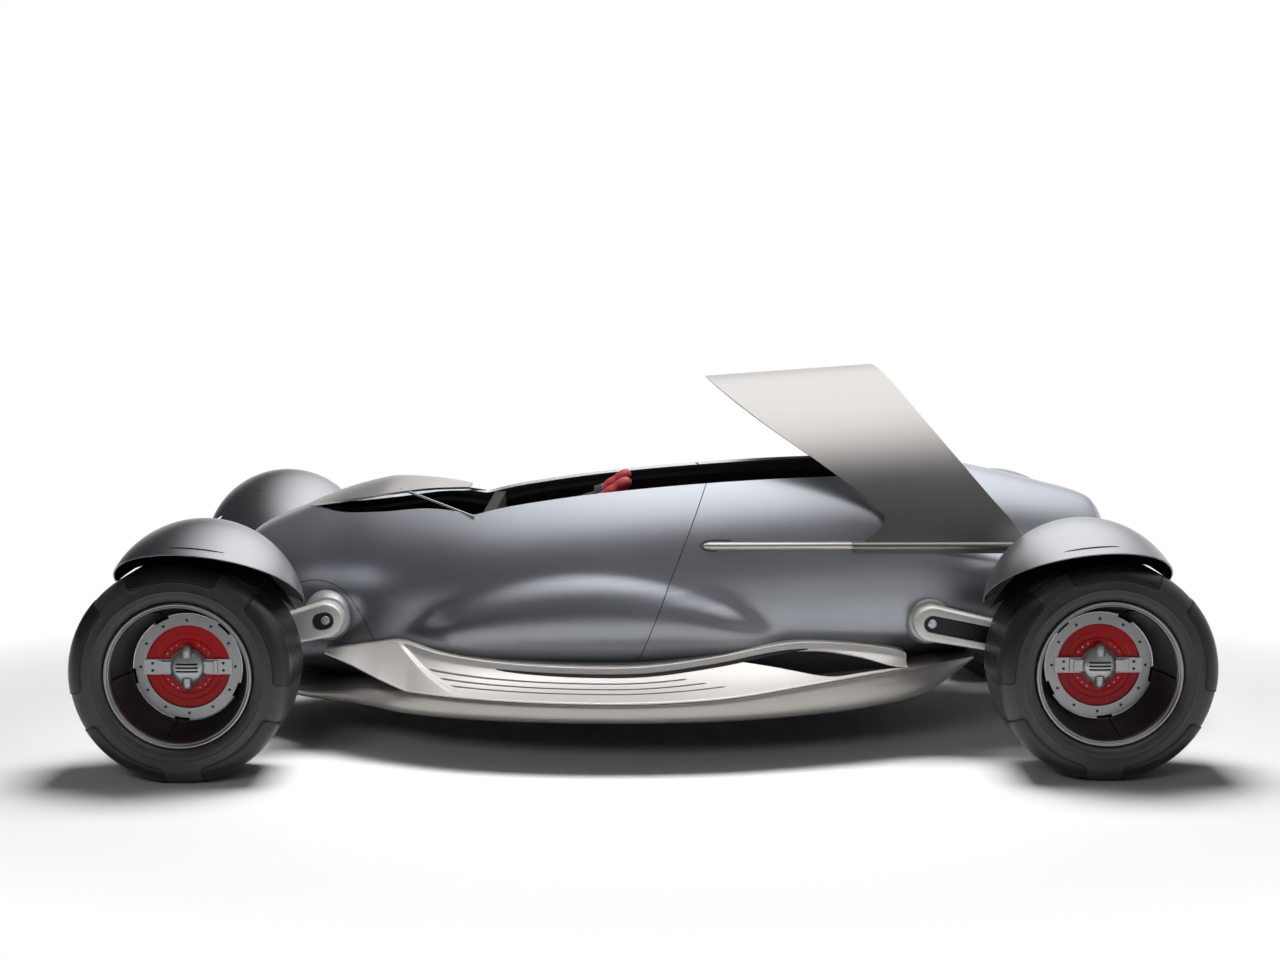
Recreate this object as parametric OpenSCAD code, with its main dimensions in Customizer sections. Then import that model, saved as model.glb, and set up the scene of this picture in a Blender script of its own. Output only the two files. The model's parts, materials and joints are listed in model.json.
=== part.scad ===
// Open single-seat race car: a boat-shaped body on four in-wheel motors, with domed mudguards,
// a hoop over the cockpit and side decks. The nose points to -X, +Z is up, and the origin is on
// the ground, midway between the axles.

/* [Chassis] */
// Distance between the front and rear axles
wheelbase = 3000; // [2950:10:3060]
// Distance between the middle planes of the left and right tyres
track = 1480; // [1470:5:1500]
// Steering angle that the wheels turn to each side
steer_angle = 15; // [5:1:15]

/* [Wheels] */
// Outside radius of the tyre
tyre_r = 360; // [350:1:370]
// Width of the tyre at its sidewalls
tyre_w = 306; // [290:2:310]
// Radius of the tyre's shoulders
shoulder_r = 55; // [40:1:65]
// Radius of the rim's bead seats
rim_seat_r = 228.5; // [220:0.5:232]
// Height of the rim's lips above the bead seats
rim_lip_h = 10; // [6:0.5:12]
// Wall of the rim's barrel
rim_wall = 8; // [5:0.5:10]
// Width of the rim's dish, from the bead seats in to the bearing that its collar turns on
dish_w = 56.5; // [52:0.5:68]
// Width of the ring round the red motor cover
face_ring_w = 34; // [28:1:46]
// Depth of the motor face behind the outer lip of the rim
face_depth = 150; // [130:1:156]

/* [Mudguards] */
// Outside radius of the domed mudguards
dome_r = 326; // [323:1:332]
// Thickness of the mudguards
dome_t = 5; // [3:0.5:8]
// Height of a dome's centre above the axle
dome_rise = 167; // [163:1:175]
// Distance of a dome's centre from the axle, towards the middle of the car
dome_shift = 62; // [54:1:66]
// Lean of the domes towards the body
dome_lean = 30; // [20:1:35]

/* [Body] */
// Thickness of the body's walls
wall = 20; // [14:1:24]
// Thickness of the cockpit's lining
lining = 10; // [6:1:14]
// How far the flanks swell out above the side decks
flank_swell = 62; // [30:1:75]
// Half the width of the cockpit's opening
opening_w = 362; // [340:1:370]
// Radius of the domed sockets that carry the arms
socket_r = 92; // [86:1:96]
// Thickness of the visor
visor_t = 8; // [5:0.5:10]
// Thickness of the hoop's panel
hoop_t = 26; // [18:1:32]

/* [Side decks] */
// Width of the raised strip beside the body
strip_w = 34; // [26:1:44]
// Height of that strip above the recessed deck
strip_h = 22; // [10:1:26]
// Width of the drain slots in the decks
slot_w = 7; // [4:0.5:10]

/* [Hidden] */
$fn = 64;

// Longer than any piece, for cuts that go right through
big = 4000;
// Clearance between pieces that seat on each other
gap = 0.4;
// Radial clearance of a part that turns in another
running = 0.3;
// Clearance beside a part that turns
side_gap = 6;

axle_x = wheelbase / 2;
wheel_y = track / 2;
bearing_r = rim_seat_r - dish_w;
cover_r = bearing_r - face_ring_w;

silver = "silver";
dark = "dimgray";

// Interpolation
function row(t, i) = t[max(0, min(len(t) - 1, i))];
function cubic(a, b, c, d, f) =
    0.5 * (2 * b + (c - a) * f + (2 * a - 5 * b + 4 * c - d) * f * f + (3 * b - a - 3 * c + d) * f * f * f);
// A smooth curve through the rows of a table, where u counts rows
function along(t, u) =
    let (i = min(floor(u), len(t) - 2), f = u - i)
    [for (k = [0:len(t[0]) - 1]) cubic(row(t, i - 1)[k], row(t, i)[k], row(t, i + 1)[k], row(t, i + 2)[k], f)];
function stations(t, per_row) = [for (n = [0:(len(t) - 1) * per_row]) along(t, n / per_row)];
function smooth(f) = let (c = max(0, min(1, f))) c * c * (3 - 2 * c);
function mix(a, b, f) = a + (b - a) * f;
// The value of a table's column at a place along its first column
function at_x(t, x, k, i = 0) =
    i >= len(t) - 1 ? t[len(t) - 1][k]
    : x <= t[i + 1][0] ? mix(t[i][k], t[i + 1][k], smooth_line((x - t[i][0]) / (t[i + 1][0] - t[i][0])))
    : at_x(t, x, k, i + 1);
function smooth_line(f) = max(0, min(1, f));
function signed_power(v, e) = sign(v) * pow(abs(v), e);

// A closed solid through rings of points, all of the same count
module loft(rings) {
    n = len(rings[0]);
    last = len(rings) - 1;
    polyhedron(
        points = [for (r = rings) each r],
        faces = concat(
            [[for (j = [0:n - 1]) j]],
            [for (i = [0:last - 1], j = [0:n - 1]) [i * n + j, (i + 1) * n + j, (i + 1) * n + (j + 1) % n]],
            [for (i = [0:last - 1], j = [0:n - 1]) [i * n + j, (i + 1) * n + (j + 1) % n, i * n + (j + 1) % n]],
            [[for (j = [n - 1:-1:0]) last * n + j]]
        )
    );
}

// Joins its children into one mesh, for pieces cut from lofted surfaces
module meshed() resize([0, 0, 0]) union() children();

// Turns a drawing of (X, Z) that is extruded along +Z so that the extrusion runs along +Y
module upright() rotate([90, 0, 0]) mirror([0, 0, 1]) children();

// Places a right-hand rear piece at another corner. side is 1 right or -1 left, end is 1 rear or -1 front
module corner(end, side) mirror([end < 0 ? 1 : 0, 0, 0]) mirror([0, side < 0 ? 1 : 0, 0]) children();

// Body sections. Columns: x, half width, lowest z, z of the widest place, top z, top squareness
body_table = [
    [-1510, 14, 496, 518, 540, 2.1],
    [-1497, 66, 442, 516, 588, 2.2],
    [-1456, 148, 362, 511, 658, 2.2],
    [-1385, 235, 280, 505, 735, 2.2],
    [-1240, 300, 222, 500, 800, 2.2],
    [-1090, 345, 205, 500, 850, 2.2],
    [-900, 410, 202, 505, 893, 2.2],
    [-600, 474, 202, 520, 944, 2.2],
    [-300, 497, 202, 540, 988, 2.2],
    [0, 503, 202, 560, 1024, 2.2],
    [350, 499, 202, 582, 1058, 2.2],
    [675, 488, 206, 598, 1075, 2.25],
    [850, 484, 235, 600, 975, 2.9],
    [1000, 478, 280, 590, 858, 3.2],
    [1150, 466, 300, 575, 775, 3.4],
    [1300, 434, 315, 560, 735, 3.4],
    [1500, 362, 360, 550, 700, 3.0],
    [1640, 274, 425, 550, 655, 2.6],
    [1700, 200, 470, 552, 622, 2.4]
];
// Squareness of the body's underside
under_power = 3;
body_steps = 2;
body_sides = 12;

// Swell of the flanks. It starts at a crest that is highest at swell_x and fades along swell_len
swell_x = -175;
swell_len = 690;
swell_top = 622;
swell_end = 395;
swell_foot = 330;
function swell(x, z) =
    let (f = max(0, 1 - pow((x - swell_x) / swell_len, 2)), crest = swell_end + (swell_top - swell_end) * f)
    flank_swell * smooth(f * 1.6) * pow(sin(90 * smooth_line((crest - z) / (crest - swell_foot))), 1.4);

// One ring of the body, grown outwards by g
function body_ring(s, g) =
    let (
        w = s[1] + g,
        half = [for (k = [0:body_sides])
            let (
                a = -90 + 180 * k / body_sides,
                e = a < 0 ? 2 / under_power : 2 / s[5],
                z = s[3] + (a < 0 ? s[3] - s[2] + g : s[4] - s[3] + g) * signed_power(sin(a), e),
                y = k == 0 || k == body_sides ? 0 : w * pow(cos(a), e)
            )
            [y + (y > s[1] / 3 ? swell(s[0], z) * min(1, y / w) : 0), z]]
    )
    concat(
        [for (p = half) [s[0] + g * s[0] / body_table[len(body_table) - 1][0], p[0], p[1]]],
        [for (k = [body_sides - 1:-1:1])
            [s[0] + g * s[0] / body_table[len(body_table) - 1][0], -half[k][0], half[k][1]]]
    );
module body_volume(g) loft([for (s = stations(body_table, body_steps)) body_ring(s, g)]);

// Half width of the body at a height above its widest place
function body_y(x, z) =
    let (
        w = at_x(body_table, x, 1), mid = at_x(body_table, x, 3), top = at_x(body_table, x, 4),
        n = at_x(body_table, x, 5)
    )
    w * pow(max(0, 1 - pow((z - mid) / (top - mid), n)), 1 / n);

// Cockpit opening. Columns: x, share of the opening's half width
opening_table = [
    [-1225, 0.02], [-1180, 0.26], [-1080, 0.54], [-930, 0.72], [-760, 0.83], [-640, 0.95], [-585, 1.01],
    [-450, 1.0], [100, 1.0], [450, 1.0], [700, 0.99], [790, 0.92], [835, 0.72], [858, 0.36], [864, 0.02]
];
opening_z = 640;
module opening_prism(inset) {
    line = [for (s = stations(opening_table, 2)) [s[0], max(1, s[1] * opening_w - inset)]];
    translate([0, 0, opening_z]) linear_extrude(big)
        polygon(concat(line, [for (i = [len(line) - 1:-1:0]) [line[i][0], -line[i][1]]]));
}

// The joint between the front and rear body leans back as it rises
joint_x = -12;
joint_z = 343;
joint_lean = 21.7;
module behind_joint(offset)
    translate([joint_x, 0, joint_z]) rotate([0, joint_lean, 0]) translate([offset, -big / 2, -big / 2])
        cube([big, big, big]);

// Sockets for the arms. Front and rear: x from the middle of the car, y of the dome's centre, z
front_socket = [1095, 318, 458];
rear_socket = [980, 424, 462];
// How far the socket's flat stands out from the dome's centre
socket_flat = 74;
// Radius and depth of the seat in the socket's flat, around the arm's root
seat_recess_r = 74;
seat_recess = 10;
arm_root_r = 62;

module socket_dome(at, end, side) corner(end, side) difference() {
    translate(at) sphere(socket_r, $fn = 24);
    translate([at[0], at[1] + socket_flat, at[2]]) upright() cylinder(r = 2 * socket_r, h = socket_r, $fn = 8);
    translate([at[0], at[1] + socket_flat - seat_recess, at[2]]) upright()
        cylinder(r = seat_recess_r, h = socket_r, $fn = 32);
}

module body_shell() difference() {
    union() {
        body_volume(0);
        for (side = [-1, 1]) {
            socket_dome(front_socket, -1, side);
            socket_dome(rear_socket, 1, side);
        }
    }
    body_volume(-wall);
    opening_prism(0);
}

module front_body() color(silver) meshed() difference() {
    body_shell();
    behind_joint(-gap / 2);
}

module rear_body() color(silver) meshed() intersection() {
    body_shell();
    behind_joint(gap / 2);
}

// Hull under the body. Columns: x, half width at the edge, z of the edge, z of the bottom, half width of the bottom
hull_table = [
    [-1330, 190, 190, 172, 150],
    [-1220, 330, 192, 162, 280],
    [-1080, 400, 200, 157, 350],
    [-960, 470, 226, 155, 420],
    [-800, 606, 240, 155, 540],
    [-560, 700, 236, 155, 630],
    [-280, 748, 232, 155, 676],
    [0, 756, 232, 155, 684],
    [280, 730, 244, 155, 655],
    [540, 668, 272, 158, 590],
    [780, 590, 296, 168, 510],
    [960, 520, 310, 195, 440],
    [1085, 450, 318, 255, 370],
    [1150, 405, 320, 304, 340]
];
hull_rows = stations(hull_table, 2);
function hull_ring(s) = [
    [s[0], -s[4], s[3]], [s[0], s[4], s[3]], [s[0], mix(s[4], s[1], 0.62), mix(s[3], s[2], 0.22)],
    [s[0], s[1], s[2] - 14], [s[0], s[1], s[2]], [s[0], 0, s[2]], [s[0], -s[1], s[2]],
    [s[0], -s[1], s[2] - 14], [s[0], -mix(s[4], s[1], 0.62), mix(s[3], s[2], 0.22)]
];
module hull_tray() color(silver) meshed() difference() {
    loft([for (s = hull_rows) hull_ring(s)]);
    body_volume(gap);
    for (x = pad_x, side = [-1, 1]) translate([x, side * pad_y, pad_top(x) - 2 * pad_t])
        cylinder(r = pad_r + gap, h = 2 * pad_t, $fn = 32);
}

// Side decks on the hull. Columns: x, y inside the body, y of the body's side, top z there
deck_table = [
    [-1110, 290, 336, 342],
    [-1020, 320, 374, 358],
    [-930, 340, 405, 376],
    [-830, 380, 444, 389],
    [-700, 400, 500, 362],
    [-500, 420, 540, 338],
    [-250, 430, 560, 325],
    [0, 430, 556, 325],
    [240, 420, 530, 352],
    [500, 400, 498, 394],
    [700, 390, 482, 388],
    [850, 390, 470, 368],
    [900, 390, 466, 350]
];
deck_steps = 2;
deck_points = 5;
deck_edge_t = 8;
deck_seat = 2.5;
recess_start = -850;
recess_slant = 210;
recess_ramp = 60;
// Free edge of the deck in front of the hull's wide part. Columns: x, y, z
front_edge = [[-1110, 384, 326], [-1000, 480, 304], [-900, 553, 271], [-800, 606, 240]];
free_x = -800;
function edge_y(x) = x < free_x ? at_x(front_edge, x, 1) : at_x(hull_rows, x, 1);
function edge_z(x) = x < free_x ? at_x(front_edge, x, 2) : at_x(hull_rows, x, 2);
// Depth of the recess in the deck, t from 0 at the strip to 1 at the edge
function recess(x, t) = strip_h * smooth((x - recess_start - recess_slant * t) / recess_ramp) * (1 - t * t);
function deck_ring(s) =
    let (
        x = s[0], ey = max(edge_y(x), s[2] + strip_w + 12), ez = edge_z(x) + deck_seat,
        strip_y = s[2] + strip_w, top = ez + deck_edge_t
    )
    concat(
        [[x, s[1], ez], [x, ey, ez], [x, ey, top - 2]],
        [for (k = [deck_points:-1:0])
            let (t = k / deck_points)
            [x, mix(strip_y + 3, ey - 3, t), mix(s[3], top, pow(t, 0.85)) - recess(x, t)]],
        [[x, strip_y, s[3] - 1], [x, s[2], s[3]], [x, s[1], s[3]]]
    );

// Drain slots. Columns: first x, last x, share of the way from the strip to the edge
slot_table = [[-730, 145, 0.26], [-690, 210, 0.44], [-650, 275, 0.62]];
slot_steps = 8;
slot_deep = 16;
module deck_slot(s) {
    line = [for (i = [0:slot_steps])
        let (x = mix(s[0], s[1], i / slot_steps), y0 = at_x(deck_table, x, 2) + strip_w)
        [x, mix(y0, edge_y(x), s[2]), mix(at_x(deck_table, x, 3), edge_z(x) + deck_edge_t, pow(s[2], 0.85))
            - recess(x, s[2])]];
    loft([for (p = line) [
        [p[0], p[1] - slot_w / 2, p[2] - slot_deep], [p[0], p[1] + slot_w / 2, p[2] - slot_deep],
        [p[0], p[1] + slot_w / 2, p[2] + 30], [p[0], p[1] - slot_w / 2, p[2] + 30]
    ]]);
}

// Air duct in the rear of the deck, beside the strip. Columns: x, inner y, outer y
duct_table = [
    [312, 556, 560],
    [400, 545, 580],
    [500, 536, 603],
    [590, 529, 620],
    [655, 527, 619],
    [760, 530, 586],
    [840, 541, 562],
    [888, 550, 553]
];
// Thickness of the deck under the duct
duct_wall = 5;
duct_top = 500;
module duct_cut() loft([for (s = stations(duct_table, 2))
    let (x = s[0], low = edge_z(x) + deck_seat + duct_wall)
    [[x, s[1], low], [x, s[2], low], [x, s[2], duct_top], [x, s[1], duct_top]]]);

module side_deck(side) color(silver) meshed() difference() {
    mirror([0, side < 0 ? 1 : 0, 0]) difference() {
        loft([for (s = stations(deck_table, deck_steps)) deck_ring(s)]);
        for (s = slot_table) deck_slot(s);
        duct_cut();
    }
    body_volume(gap);
}

// Visor over the front of the opening. Columns: x, half width, z on the middle line, z at the edge
visor_table = [
    [-1235, 10, 801, 800],
    [-1170, 110, 832, 822],
    [-1075, 182, 868, 842],
    [-960, 214, 900, 862],
    [-880, 212, 911, 874],
    [-760, 172, 902, 884],
    [-665, 105, 886, 880],
    [-625, 66, 878, 876]
];
visor_points = 8;
function visor_ring(s) = concat(
    [for (k = [0:visor_points])
        let (t = 1 - 2 * k / visor_points) [s[0], s[1] * t, mix(s[2], s[3], t * t)]],
    [for (k = [visor_points:-1:0])
        let (t = 1 - 2 * k / visor_points) [s[0], s[1] * t, mix(s[2], s[3], t * t) - visor_t]]
);
// A visor strut runs from the corner of the cockpit's rim up to the visor's underside
strut_r = 6;
strut_foot = [-585, 379, 808];
strut_top = [-862, 172, 882];
module strut(side) {
    d = strut_top - strut_foot;
    mirror([0, side < 0 ? 1 : 0, 0]) translate(strut_foot)
        rotate([0, acos(d[2] / norm(d)), atan2(d[1], d[0])]) cylinder(r = strut_r, h = norm(d), $fn = 12);
}
module visor() color(silver) meshed() difference() {
    union() {
        loft([for (s = stations(visor_table, 2)) visor_ring(s)]);
        for (side = [-1, 1]) strut(side);
    }
    difference() {
        body_volume(gap);
        opening_prism(gap);
    }
}

// Hoop over the cockpit. The leading and trailing edges by height. Columns: z, leading x, trailing x
hoop_table = [
    [690, 706, 1300],
    [735, 752, 1298],
    [780, 802, 1274],
    [815, 822, 1248],
    [850, 806, 1216],
    [900, 742, 1172],
    [1000, 612, 1086],
    [1150, 420, 958],
    [1306, 232, 836]
];
hoop_foot_z = 696;
hoop_top_z = 1306;
hoop_half_w = 496;
hoop_power = 2.3;
hoop_tilt_z = 900;
hoop_steps = 24;
// Rise of the hoop's top from its leading to its trailing edge
hoop_tilt = 43;
hoop_chord = [0, 0.02, 0.1, 0.3, 0.5, 0.7, 0.9, 0.98, 1];
// Share of the panel's thickness along its chord
function hoop_profile(c) = 0.16 + 0.84 * pow(sin(180 * c), 0.5);
function hoop_at(a) = [
    hoop_half_w * signed_power(cos(a), 2 / hoop_power),
    hoop_foot_z + (hoop_top_z - hoop_foot_z) * signed_power(sin(a), 2 / hoop_power)
];
function hoop_ring(a) =
    let (
        p = hoop_at(a), y = p[0], z = p[1],
        run = hoop_at(a + 1) - hoop_at(a - 1),
        ny = run[1] / norm(run), nz = -run[0] / norm(run),
        lead = at_x(hoop_table, z, 1), trail = at_x(hoop_table, z, 2),
        tilt = hoop_tilt * smooth((z - hoop_tilt_z) / (hoop_top_z - hoop_tilt_z))
    )
    concat(
        [for (c = hoop_chord) [mix(lead, trail, c), y, z + tilt * (c - 0.75)]],
        [for (k = [len(hoop_chord) - 1:-1:0])
            let (c = hoop_chord[k], t = hoop_t * hoop_profile(c))
            [mix(lead, trail, c), y - ny * t, z - nz * t + tilt * (c - 0.75)]]
    );
// Bead along each foot of the hoop, in line with the side rail
bead_r = 15;
rail_z = 722;
rail_sides = 10;
function rail_ring(x, y, r) = [for (k = [0:rail_sides - 1])
    let (a = 360 * k / rail_sides) [x, y + r * cos(a), rail_z + r * sin(a)]];
rail_start = 208;
hoop_front = 716;
hoop_rear = 1292;
module hoop() color(silver) meshed() difference() {
    union() {
        loft([for (i = [0:hoop_steps]) hoop_ring(180 - 180 * i / hoop_steps)]);
        for (side = [-1, 1]) mirror([0, side < 0 ? 1 : 0, 0])
            loft([for (x = [hoop_front, hoop_rear]) rail_ring(x, hoop_half_w - 4, bead_r)]);
    }
    body_volume(gap);
}

rail_r = 13;
rail_steps = 6;
module side_rail(side) color(silver) meshed() difference() {
    mirror([0, side < 0 ? 1 : 0, 0])
        loft([for (i = [0:rail_steps]) let (x = mix(rail_start, hoop_front - 12, i / rail_steps))
            rail_ring(x, body_y(x, rail_z) + 1, rail_r)]);
    body_volume(gap);
}

// Fairing behind the cockpit. Columns: x, half width, foot z, top z
fairing_table = [
    [870, 290, 560, 988],
    [950, 300, 560, 992],
    [1060, 296, 560, 976],
    [1250, 266, 560, 938],
    [1450, 222, 560, 890],
    [1600, 178, 560, 848],
    [1650, 152, 560, 812],
    [1680, 118, 560, 748],
    [1690, 100, 560, 690]
];
fairing_points = 10;
fairing_power = 2.6;
function fairing_ring(s) = concat(
    [for (k = [0:fairing_points])
        let (a = 180 * k / fairing_points)
        [s[0], s[1] * signed_power(cos(a), 2 / fairing_power),
            mix(s[2], s[3], k == 0 || k == fairing_points ? 0 : pow(sin(a), 2 / fairing_power))]]
);
module tail_fairing() color(silver) meshed() difference() {
    loft([for (s = stations(fairing_table, 2)) fairing_ring(s)]);
    body_volume(gap);
}

// Lining of the cockpit
tub_front = -1190;
tub_rear = 886;
module tub_cavity() intersection() {
    body_volume(-wall - gap - lining);
    translate([tub_front + lining, -big / 2, 0]) cube([tub_rear - tub_front - 2 * lining, big, big]);
}
module cockpit_tub() color("black") meshed() difference() {
    intersection() {
        body_volume(-wall - gap);
        translate([tub_front, -big / 2, 0]) cube([tub_rear - tub_front, big, big]);
    }
    tub_cavity();
    opening_prism(-gap);
}

// The space in the lining that its fittings fill up to
module tub_space() body_volume(-wall - gap - lining - gap);

dash_x = -560;
dash_t = 40;
dash_low = 600;
dash_high = 812;
module dash() color("black") meshed() intersection() {
    tub_space();
    translate([dash_x, -big / 2, dash_low]) cube([dash_t, big, dash_high - dash_low]);
}

// Steering column and yoke
column_r = 22;
column_from = [dash_x + dash_t, 0, 726];
column_to = [-165, 0, 832];
column_tilt = atan2(column_to[2] - column_from[2], column_to[0] - column_from[0]);
column_len = norm(column_to - column_from);
// Where the column starts, so that its slanted end clears the dash
column_start = column_r * tan(column_tilt) + gap / cos(column_tilt);
module steering_column() color(dark)
    translate(column_from) rotate([0, 90 - column_tilt, 0]) translate([0, 0, column_start])
        cylinder(r = column_r, h = column_len - column_start);

yoke_w = 130;
grip_r = 24;
grip_len = 115;
grip_lean = 72;
// Length of the grip below the yoke's bar
grip_drop = 10;
yoke_hub_r = 40;
yoke_hub_t = 34;
module steering_yoke() color("firebrick")
    translate(column_to) rotate([0, -column_tilt, 0]) {
        translate([gap, 0, 0]) rotate([0, 90, 0]) cylinder(r = yoke_hub_r, h = yoke_hub_t);
        translate([gap + yoke_hub_t / 2, 0, 0]) rotate([90, 0, 0])
            cylinder(r = 13, h = 2 * yoke_w, center = true);
        for (side = [-1, 1]) translate([gap + yoke_hub_t / 2, side * yoke_w, 0]) rotate([0, grip_lean, 0])
            translate([0, 0, grip_len / 2 - grip_drop]) {
                cylinder(r = grip_r, h = grip_len, center = true);
                for (tip = [-1, 1]) translate([0, 0, tip * grip_len / 2]) sphere(grip_r);
            }
    }

// Seat: a side view of cushion and back, with raised sides
seat_w = 430;
seat_side = 55;
seat_x = 90;
seat_z = 292;
cushion_len = 400;
cushion_t = 70;
back_len = 560;
back_t = 66;
back_lean = 28;
side_rise = 70;
module seat_view(rise) union() {
    hull() {
        translate([0, cushion_t / 2 + 22]) circle(cushion_t / 2 + rise / 2);
        translate([cushion_len, cushion_t / 2]) circle(cushion_t / 2 + rise / 2);
    }
    translate([cushion_len, cushion_t / 2]) rotate(-back_lean) hull() {
        circle(back_t / 2 + rise / 2);
        translate([0, back_len]) circle(back_t / 2 + rise / 3);
    }
}
module seat() color("firebrick") meshed() {
    translate([seat_x, seat_w / 2, seat_z]) rotate([90, 0, 0]) linear_extrude(seat_w)
        seat_view(0, $fn = 24);
    for (side = [-1, 1]) translate([seat_x, side * seat_w / 2 + seat_side / 2, seat_z]) rotate([90, 0, 0])
        linear_extrude(seat_side) seat_view(side_rise, $fn = 22);
    intersection() {
        tub_space();
        translate([seat_x + 20, -seat_w / 3, 0]) cube([cushion_len - 40, seat_w * 2 / 3, seat_z + cushion_t / 2]);
    }
}

// Fuel cell and battery block in the rear body
unit_x = 902;
unit_len = 380;
unit_half = 250;
unit_top = 690;
module power_unit() color(dark) meshed() intersection() {
    body_volume(-wall - gap);
    translate([unit_x, -unit_half, 0]) cube([unit_len, 2 * unit_half, unit_top]);
}

// Flat pads let into the hull's underside, for a jack
pad_r = 40;
pad_t = 14;
pad_in = 8;
pad_x = [-700, 540];
pad_y = 420;
function pad_top(x) = at_x(hull_table, x, 3) + pad_in;
module jack_pads() color(dark)
    for (x = pad_x, side = [-1, 1]) translate([x, side * pad_y, pad_top(x) - pad_t])
        cylinder(r = pad_r, h = pad_t);

// Kingpin and carrier, from the wheel's middle plane towards the car
pin_y = wheel_y - 140;
pin_r = 18;
eye_half = 42;
lug_t = 30;
lug_w = 64;
flange_t = 12;
flange_r = bearing_r + 9;
face_y = wheel_y + tyre_w / 2 - 10 - face_depth;
ring_t = 12;
collar_w = 46;
carrier_in = face_y - ring_t - 2 * side_gap - collar_w - flange_t;

// Arm from a socket to the carrier. Drawn for the right rear corner
arm_t = 58;
arm_end_r = 40;
// Room round the kingpin for the carrier's lugs
lug_room_r = 54;
pocket = 12;
module arm_side_view(at, shrink) hull() {
    translate([at[0], at[2]]) circle(arm_root_r - shrink);
    translate([axle_x, tyre_r]) circle(arm_end_r - shrink);
}
module arm(at, end_y, end, side) color(silver) corner(end, side) {
    in_y = at[1] + socket_flat - seat_recess + gap;
    out_y = in_y + seat_recess + arm_t;
    reach = axle_x - at[0];
    difference() {
        intersection() {
            upright() linear_extrude(big / 2) arm_side_view(at, 0, $fn = 48);
            linear_extrude(big / 2) polygon([
                [at[0] - 2 * arm_root_r, in_y], [at[0] + arm_root_r, in_y], [at[0] + 0.6 * reach, in_y + 30],
                [axle_x + 2 * arm_end_r, end_y - arm_t], [axle_x + 2 * arm_end_r, end_y],
                [axle_x - arm_end_r, end_y], [at[0] + 0.62 * reach, out_y + 16], [at[0] + arm_root_r, out_y],
                [at[0] - 2 * arm_root_r, out_y]
            ]);
        }
        translate([0, out_y - pocket, 0]) upright() linear_extrude(2 * arm_t) intersection() {
            arm_side_view(at, 18, $fn = 48);
            square([at[0] + arm_root_r + 40, big]);
        }
    }
}
module kingpin(end, side) corner(end, side) translate([axle_x, pin_y, tyre_r]) {
    cylinder(r = pin_r, h = 2 * (eye_half + lug_t), center = true);
    cylinder(r = arm_end_r - 8, h = 2 * (eye_half - 1), center = true);
}
module front_arm(side) {
    difference() {
        arm(front_socket, pin_y, -1, side);
        corner(-1, side) translate([axle_x, pin_y, tyre_r + eye_half - 2]) cylinder(r = lug_room_r, h = big);
    }
    color(silver) kingpin(-1, side);
}
module rear_arm(side) arm(rear_socket, pin_y, 1, side);

// Carrier with the motor's housing. Turned about the wheel's axis, drawn for the right rear corner
module about_axle() translate([axle_x, 0, tyre_r]) upright() children();
module carrier(end, side) color(dark) corner(end, side) {
    about_axle() {
        translate([0, 0, carrier_in]) cylinder(r = flange_r, h = flange_t);
        translate([0, 0, carrier_in]) cylinder(r = bearing_r, h = face_y - ring_t - gap - carrier_in);
    }
    if (end < 0)
        for (tip = [-1, 1]) difference() {
            translate([axle_x - lug_w / 2, pin_y - lug_w / 2, tyre_r + (tip > 0 ? eye_half : -eye_half - lug_t)])
                cube([lug_w, carrier_in - pin_y + lug_w / 2 + 1, lug_t]);
            translate([axle_x, pin_y, tyre_r]) cylinder(r = pin_r + running, h = big, center = true);
        }
    else {
        about_axle() translate([0, 0, pin_y + gap]) cylinder(r = arm_end_r, h = carrier_in - pin_y);
        translate([axle_x - lug_w / 2, pin_y - lug_w / 2 + gap, tyre_r + eye_half + lug_t / 2])
            cube([lug_w, carrier_in - pin_y + lug_w / 2, lug_t / 2]);
    }
}

// Face of the motor: a ring with tabs, a bar across and a cap
tab_count = 5;
tab_turn = -10;
tab_gap = 16;
tab_h = 10;
bar_h = 52;
cap_r = 58;
cap_h = 22;
knob_r = 14;
cap_slot_w = 74;
cap_slot_h = 6;
module motor_face(end, side) color(silver) corner(end, side) about_axle() {
    difference() {
        translate([0, 0, face_y - ring_t]) cylinder(r = bearing_r + tab_h, h = ring_t);
        translate([0, 0, face_y - 2 * ring_t]) cylinder(r = cover_r, h = 4 * ring_t);
        for (n = [0:tab_count - 1]) rotate(360 * n / tab_count + tab_turn)
            translate([bearing_r, -bearing_r * sin(tab_gap / 2), face_y - 2 * ring_t])
                cube([2 * tab_h, 2 * bearing_r * sin(tab_gap / 2), 4 * ring_t]);
    }
    difference() {
        union() {
            translate([-cover_r - 4, -bar_h / 2, face_y - ring_t / 2]) cube([2 * cover_r + 8, bar_h, ring_t / 2]);
            translate([0, 0, face_y - ring_t / 2]) cylinder(r = cap_r, h = cap_h + ring_t / 2);
            for (tip = [-1, 1]) translate([0, tip * (cap_r - 4), face_y + cap_h / 2]) {
                rotate([90, 0, 0]) cylinder(r = knob_r, h = 36, center = true);
                translate([0, tip * 18, 0]) sphere(knob_r);
            }
        }
        for (n = [-1:1]) translate([0, n * 2 * cap_slot_h, face_y + cap_h])
            cube([cap_slot_w, cap_slot_h, cap_h / 2], center = true);
    }
}
module cover(end, side) color("firebrick") corner(end, side) about_axle()
    translate([0, 0, face_y - ring_t]) cylinder(r = cover_r - gap, h = ring_t / 2 - gap);

// Mudguard dome with its stay, drawn for the right rear corner
dome_y = wheel_y + 10;
dome_cut = 97;
// Slope of a dome's rim, down towards the middle of the car
dome_pitch = 5.5;
dome_low = 560;
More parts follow.
